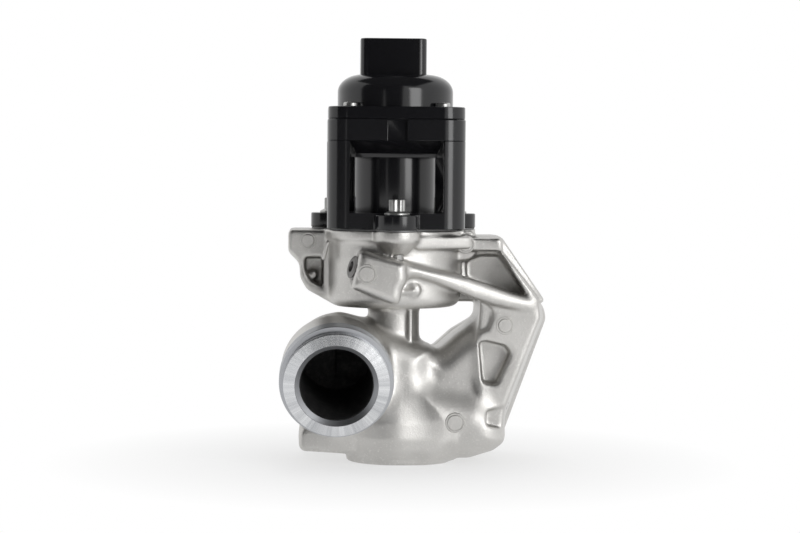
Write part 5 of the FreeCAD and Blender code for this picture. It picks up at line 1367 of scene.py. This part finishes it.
class BuildBolts(bpy.types.Operator):
    """Makes the three flange bolts with six-lobed heads and the four cover screws"""

    bl_idname = "valve.build_bolts"
    bl_label = "Bolts and screws"

    def execute(self, context):
        zinc = plain_metal("zinc_plate", (0.50, 0.50, 0.49), 0.30, 0.9, 0.005)
        for k, (x, y) in enumerate(LUG_POINTS):
            base = BODY_BOTTOM_Z + LUG_H
            flange = rounded_profile(
                [
                    (AXIS_R, base), (BOLT_FLANGE_R, base), (BOLT_FLANGE_R, base + 0.7),
                    (3.3, base + 1.5), (AXIS_R, base + 1.5)
                ],
                [0, 0.15, 0.2, 0.3, 0], 3
            )
            head = self.lobed_head(x, y, base + 1.0, base + 6.0)
            shank = turned(
                [
                    (AXIS_R, 80.6), (2.1, 80.6), (BOLT_SHANK_R, 81.2), (BOLT_SHANK_R, base + 0.2),
                    (AXIS_R, base + 0.2)
                ],
                (x, y, 0), count=32
            )
            points, quads = joined_parts([turned(flange, (x, y, 0), count=64), head, shank])
            replaced = ("actuator_bolts",) if k == 0 else ()
            bolt = write_mesh("actuator_bolt_%d" % k, points, quads, "housing", replaced, 35.0)
            coat(bolt, zinc)
        for k, (sx, sy) in enumerate(((-1, -1), (1, -1), (-1, 1), (1, 1))):
            profile = rounded_profile(
                [
                    (AXIS_R, COVER_TOP_Z), (2.9, COVER_TOP_Z), (2.9, COVER_TOP_Z + 1.7),
                    (AXIS_R, COVER_TOP_Z + 1.7)
                ],
                [0, 0.1, 0.7, 0], 5
            )
            screw = write_mesh(
                "cover_screw_%d" % k,
                *turned(profile, (SCREW_SPREAD * sx, SCREW_SPREAD * sy, 0), count=48), "housing",
                ("cover_screws",) if k == 0 else (), 50.0
            )
            slots = []
            for long_x, long_y in ((1.7, 0.32), (0.32, 1.7)):
                loop = superloop(long_x, long_y, 0.15, 3, (SCREW_SPREAD * sx, SCREW_SPREAD * sy))
                slots.append(tool_piece(*lofted([loop] * 2, [COVER_TOP_Z + 0.8, COVER_TOP_Z + 3.0])))
            cut_with(screw, slots)
            coat(screw, zinc)
        return {"FINISHED"}

    def lobed_head(self, x, y, bottom, top):
        """Six-lobed post: radius swings between two values six times round."""
        a = np.linspace(0.0, 2 * math.pi, 96, endpoint=False)
        star = 2.86 + 0.34 * np.cos(6 * a) - 0.05 * np.cos(12 * a)
        rows = (
            (bottom, 1.0), (top - 0.5, 1.0), (top - 0.15, 0.96), (top, 0.86), (top, 0.5),
            (top - 0.6, 0.42), (top - 0.6, AXIS_R)
        )
        loops = [
            np.stack([x + star * share * np.cos(a), y + star * share * np.sin(a)], axis=1) for _,
            share in rows
        ]
        return lofted(loops, [z for z, _ in rows])


class CoatInside(bpy.types.Operator):
    """Gives the carried-over inner pieces their finishes"""

    bl_idname = "valve.coat_inside"
    bl_label = "Inner pieces"

    def execute(self, context):
        steel = plain_metal("ground_steel", (0.60, 0.60, 0.61), 0.25)
        finishes = {
            "seat_steel": plain_metal("seat_steel", (0.42, 0.40, 0.37), 0.4),
            "zinc_steel": plain_metal("zinc_sheet", (0.68, 0.68, 0.66), 0.3),
            "bronze": plain_metal("sintered_bronze", (0.55, 0.40, 0.22), 0.5),
            "dark_steel": plain_metal("dark_plug", (0.16, 0.155, 0.15), 0.35),
            "spring_steel": plain_metal("spring_wire", (0.32, 0.32, 0.33), 0.32),
            "bearing_steel": steel, "core_steel": plain_metal("core_sheets", (0.34, 0.34, 0.35), 0.45),
            "gasket_steel": plain_metal("gasket_sheet", (0.22, 0.22, 0.22), 0.5),
            "turned_aluminium": plain_metal("turned_end_shield", (0.68, 0.68, 0.68), 0.3),
            "copper": plain_metal("winding_copper", (0.62, 0.28, 0.14), 0.35),
            "tinned_brass": plain_metal("tinned_pin", (0.74, 0.73, 0.70), 0.25),
            "black_rubber": plain_matt("seal_rubber", (0.02, 0.02, 0.02), 0.6),
            "black_resin": plain_matt("inner_resin", (0.02, 0.02, 0.02), 0.5),
            "black_resin_can": plain_matt("can_inner", (0.02, 0.02, 0.02), 0.4),
            "board_green": plain_matt("board_mask", (0.02, 0.14, 0.06), 0.35),
            "chip_black": plain_matt("chip_mould", (0.02, 0.02, 0.02), 0.5),
            "white_resin": plain_matt("plunger_resin", (0.72, 0.72, 0.68), 0.45),
            "magnet_grey": plain_matt("magnet_coat", (0.10, 0.10, 0.11), 0.4),
            "cast_aluminium": plain_metal("cast_inner", (0.6, 0.6, 0.58), 0.5)
        }
        slots = {s["node"]: s["material_slot"] for s in frame["record"]["subparts"]}
        for node, piece in frame["nodes"].items():
            coat(piece, finishes[slots[node]])
        return {"FINISHED"}


def aim(place, target, roll=0.0):
    """Turn that looks from a place to a target, rolled about the line of sight."""
    look = (Vector(target) - Vector(place)).to_track_quat("-Z", "Y").to_matrix().to_4x4()
    return Matrix.Translation(place) @ look @ Matrix.Rotation(roll, 4, "Z")


class BuildStage(bpy.types.Operator):
    """Sets the floor, the soft lamps and the camera"""

    bl_idname = "valve.build_stage"
    bl_label = "Stage"

    def execute(self, context):
        settings = context.scene.valve_stage
        self.floor()
        self.world(context.scene)
        self.lamps()
        self.flags()
        e = settings.elevation
        a = settings.azimuth
        back = Vector((-math.sin(a) * math.cos(e), -math.cos(a) * math.cos(e), math.sin(e)))
        target = Vector(settings.target)
        lens = bpy.data.cameras.new("camera")
        lens.sensor_width = 36.0
        lens.lens = 36.0 * settings.distance / settings.span
        lens.clip_start = 0.01
        lens.clip_end = 20.0
        camera = bpy.data.objects.new("camera", lens)
        camera.matrix_world = aim(target + back * settings.distance, target, settings.roll)
        context.scene.collection.objects.link(camera)
        context.scene.camera = camera
        context.scene.view_settings.view_transform = "Standard"
        return {"FINISHED"}

    def floor(self):
        """A wide pale disc under the valve: lit and shadowed near it, plain white further out."""
        points, quads = turned(
            [(AXIS_R, -0.6), (6000.0, -0.6), (6000.0, -0.2), (AXIS_R, -0.2)], count=64
        )
        piece = tool_piece(points, quads, "floor")
        f = Finish("floor_paper", Roughness=0.8)
        f.shader.inputs["Base Color"].default_value = (0.86, 0.86, 0.86, 1.0)
        reach = f.wire("ShaderNodeVectorMath", 1, {"operation": "LENGTH"}, i0=f.place)
        away = f.wire(
            "ShaderNodeMapRange", Value=reach, From_Min=0.03, From_Max=0.14, To_Min=0.6, To_Max=1.0
        )
        glow = f.wire("ShaderNodeEmission", Color=(1.0, 1.0, 1.0, 1.0), Strength=1.0)
        paper = Wire(f.tree, f.shader.outputs[0])
        mixed = f.wire("ShaderNodeMixShader", i0=away * seen_wire(f.tree), i1=paper, i2=glow)
        out = next(n for n in f.tree.nodes if n.type == "OUTPUT_MATERIAL")
        f.tree.links.new(mixed.socket, out.inputs["Surface"])
        coat(piece, f.material)

    def world(self, scene):
        """White to the eye and in reflections, dimmer as a light."""
        world = bpy.data.worlds.new("studio")
        scene.world = world
        world.use_nodes = True
        tree = world.node_tree
        background = next(n for n in tree.nodes if n.type == "BACKGROUND")
        strength = 0.44 + 0.56 * seen_wire(tree)
        background.inputs["Color"].default_value = (1.0, 1.0, 1.0, 1.0)
        tree.links.new(strength.socket, background.inputs["Strength"])

    def lamps(self):
        """A tall soft lamp on the right, weaker ones on the left and overhead, a low strip in front."""
        rows = (
            ("right_lamp", (0.62, -0.78, 0.22), (0, 0, 0.06), 0.40, 0.8, 4.2),
            ("left_lamp", (-0.95, -0.25, 0.20), (0, 0, 0.08), 0.5, 0.9, 1.4),
            ("top_lamp", (0.0, 0.10, 0.95), (0, 0, 0.08), 0.35, 0.6, 1.4),
            ("low_lamp", (0.10, -0.95, 0.045), (0, 0, 0.05), 1.1, 0.08, 0.5)
        )
        for name, place, target, wide, high, watts in rows:
            data = bpy.data.lights.new(name, "AREA")
            data.shape = "RECTANGLE"
            data.size = wide
            data.size_y = high
            data.energy = watts
            lamp = bpy.data.objects.new(name, data)
            lamp.matrix_world = aim(place, target)
            lamp.visible_glossy = name == "right_lamp"
            bpy.context.scene.collection.objects.link(lamp)

    def flags(self):
        """Dark cards by the camera, on the left and overhead, there only to be mirrored in gloss."""
        rows = (
            ("camera_flag", (-0.10, -1.15, 0.42), (0, 0, 0.10), 0.75, 1.6, 0.01),
            ("left_flag", (-0.85, -0.75, 0.42), (0, 0, 0.10), 1.05, 1.6, 0.03),
            ("roof_flag", (0.0, -0.1, 1.05), (0, 0, 0.08), 1.5, 1.5, 0.05)
        )
        for name, place, target, wide, high, grey in rows:
            corners = [
                (-wide / 2, -high / 2, 0), (wide / 2, -high / 2, 0), (wide / 2, high / 2, 0),
                (-wide / 2, high / 2, 0)
            ]
            mesh = bpy.data.meshes.new(name)
            mesh.from_pydata(corners, [], [(0, 1, 2, 3)])
            mesh.transform(aim(place, target))
            card = bpy.data.objects.new(name, mesh)
            bpy.context.scene.collection.objects.link(card)
            f = Finish(name + "_cloth", Roughness=1.0)
            f.shader.inputs["Base Color"].default_value = (grey, grey, grey, 1.0)
            coat(card, f.material)
            card.visible_camera = False
            card.visible_diffuse = False
            card.visible_shadow = False


class ValvePanel(bpy.types.Panel):
    """Lists the steps that build the valve"""

    bl_idname = "VIEW3D_PT_valve"
    bl_label = "Exhaust valve"
    bl_space_type = "VIEW_3D"
    bl_region_type = "UI"
    bl_category = "Valve"

    def draw(self, context):
        for step in STEPS:
            self.layout.operator(step.bl_idname)
        for group in ("valve_cast", "valve_actuator", "valve_stage"):
            settings = getattr(context.scene, group)
            for name in settings.bl_rna.properties.keys():
                if name not in ("rna_type", "name"):
                    self.layout.prop(settings, name)


STEPS = (
    BuildStage, CoatInside, BuildCasting, BuildOutlet, BuildPlug, BuildBody, BuildCan, BuildCover,
    BuildBolts
)
GROUPS = {"valve_cast": CastSettings, "valve_actuator": ActuatorSettings, "valve_stage": StageSettings}


def register():
    """Adds the classes and the settings to Blender."""
    for group in GROUPS.values():
        bpy.utils.register_class(group)
    for step in STEPS:
        bpy.utils.register_class(step)
    bpy.utils.register_class(ValvePanel)
    for name, group in GROUPS.items():
        setattr(bpy.types.Scene, name, bpy.props.PointerProperty(type=group))


def unregister():
    """Takes them out again."""
    for name in GROUPS:
        delattr(bpy.types.Scene, name)
    bpy.utils.unregister_class(ValvePanel)
    for step in reversed(STEPS):
        bpy.utils.unregister_class(step)
    for group in GROUPS.values():
        bpy.utils.unregister_class(group)


def main():
    """Runs every step."""
    register()
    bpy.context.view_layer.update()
    bpy.ops.valve.build_stage()
    bpy.ops.valve.coat_inside()
    bpy.ops.valve.build_casting()
    bpy.ops.valve.build_outlet()
    bpy.ops.valve.build_plug()
    bpy.ops.valve.build_body()
    bpy.ops.valve.build_can()
    bpy.ops.valve.build_cover()
    bpy.ops.valve.build_bolts()


if __name__ == "__main__":
    main()
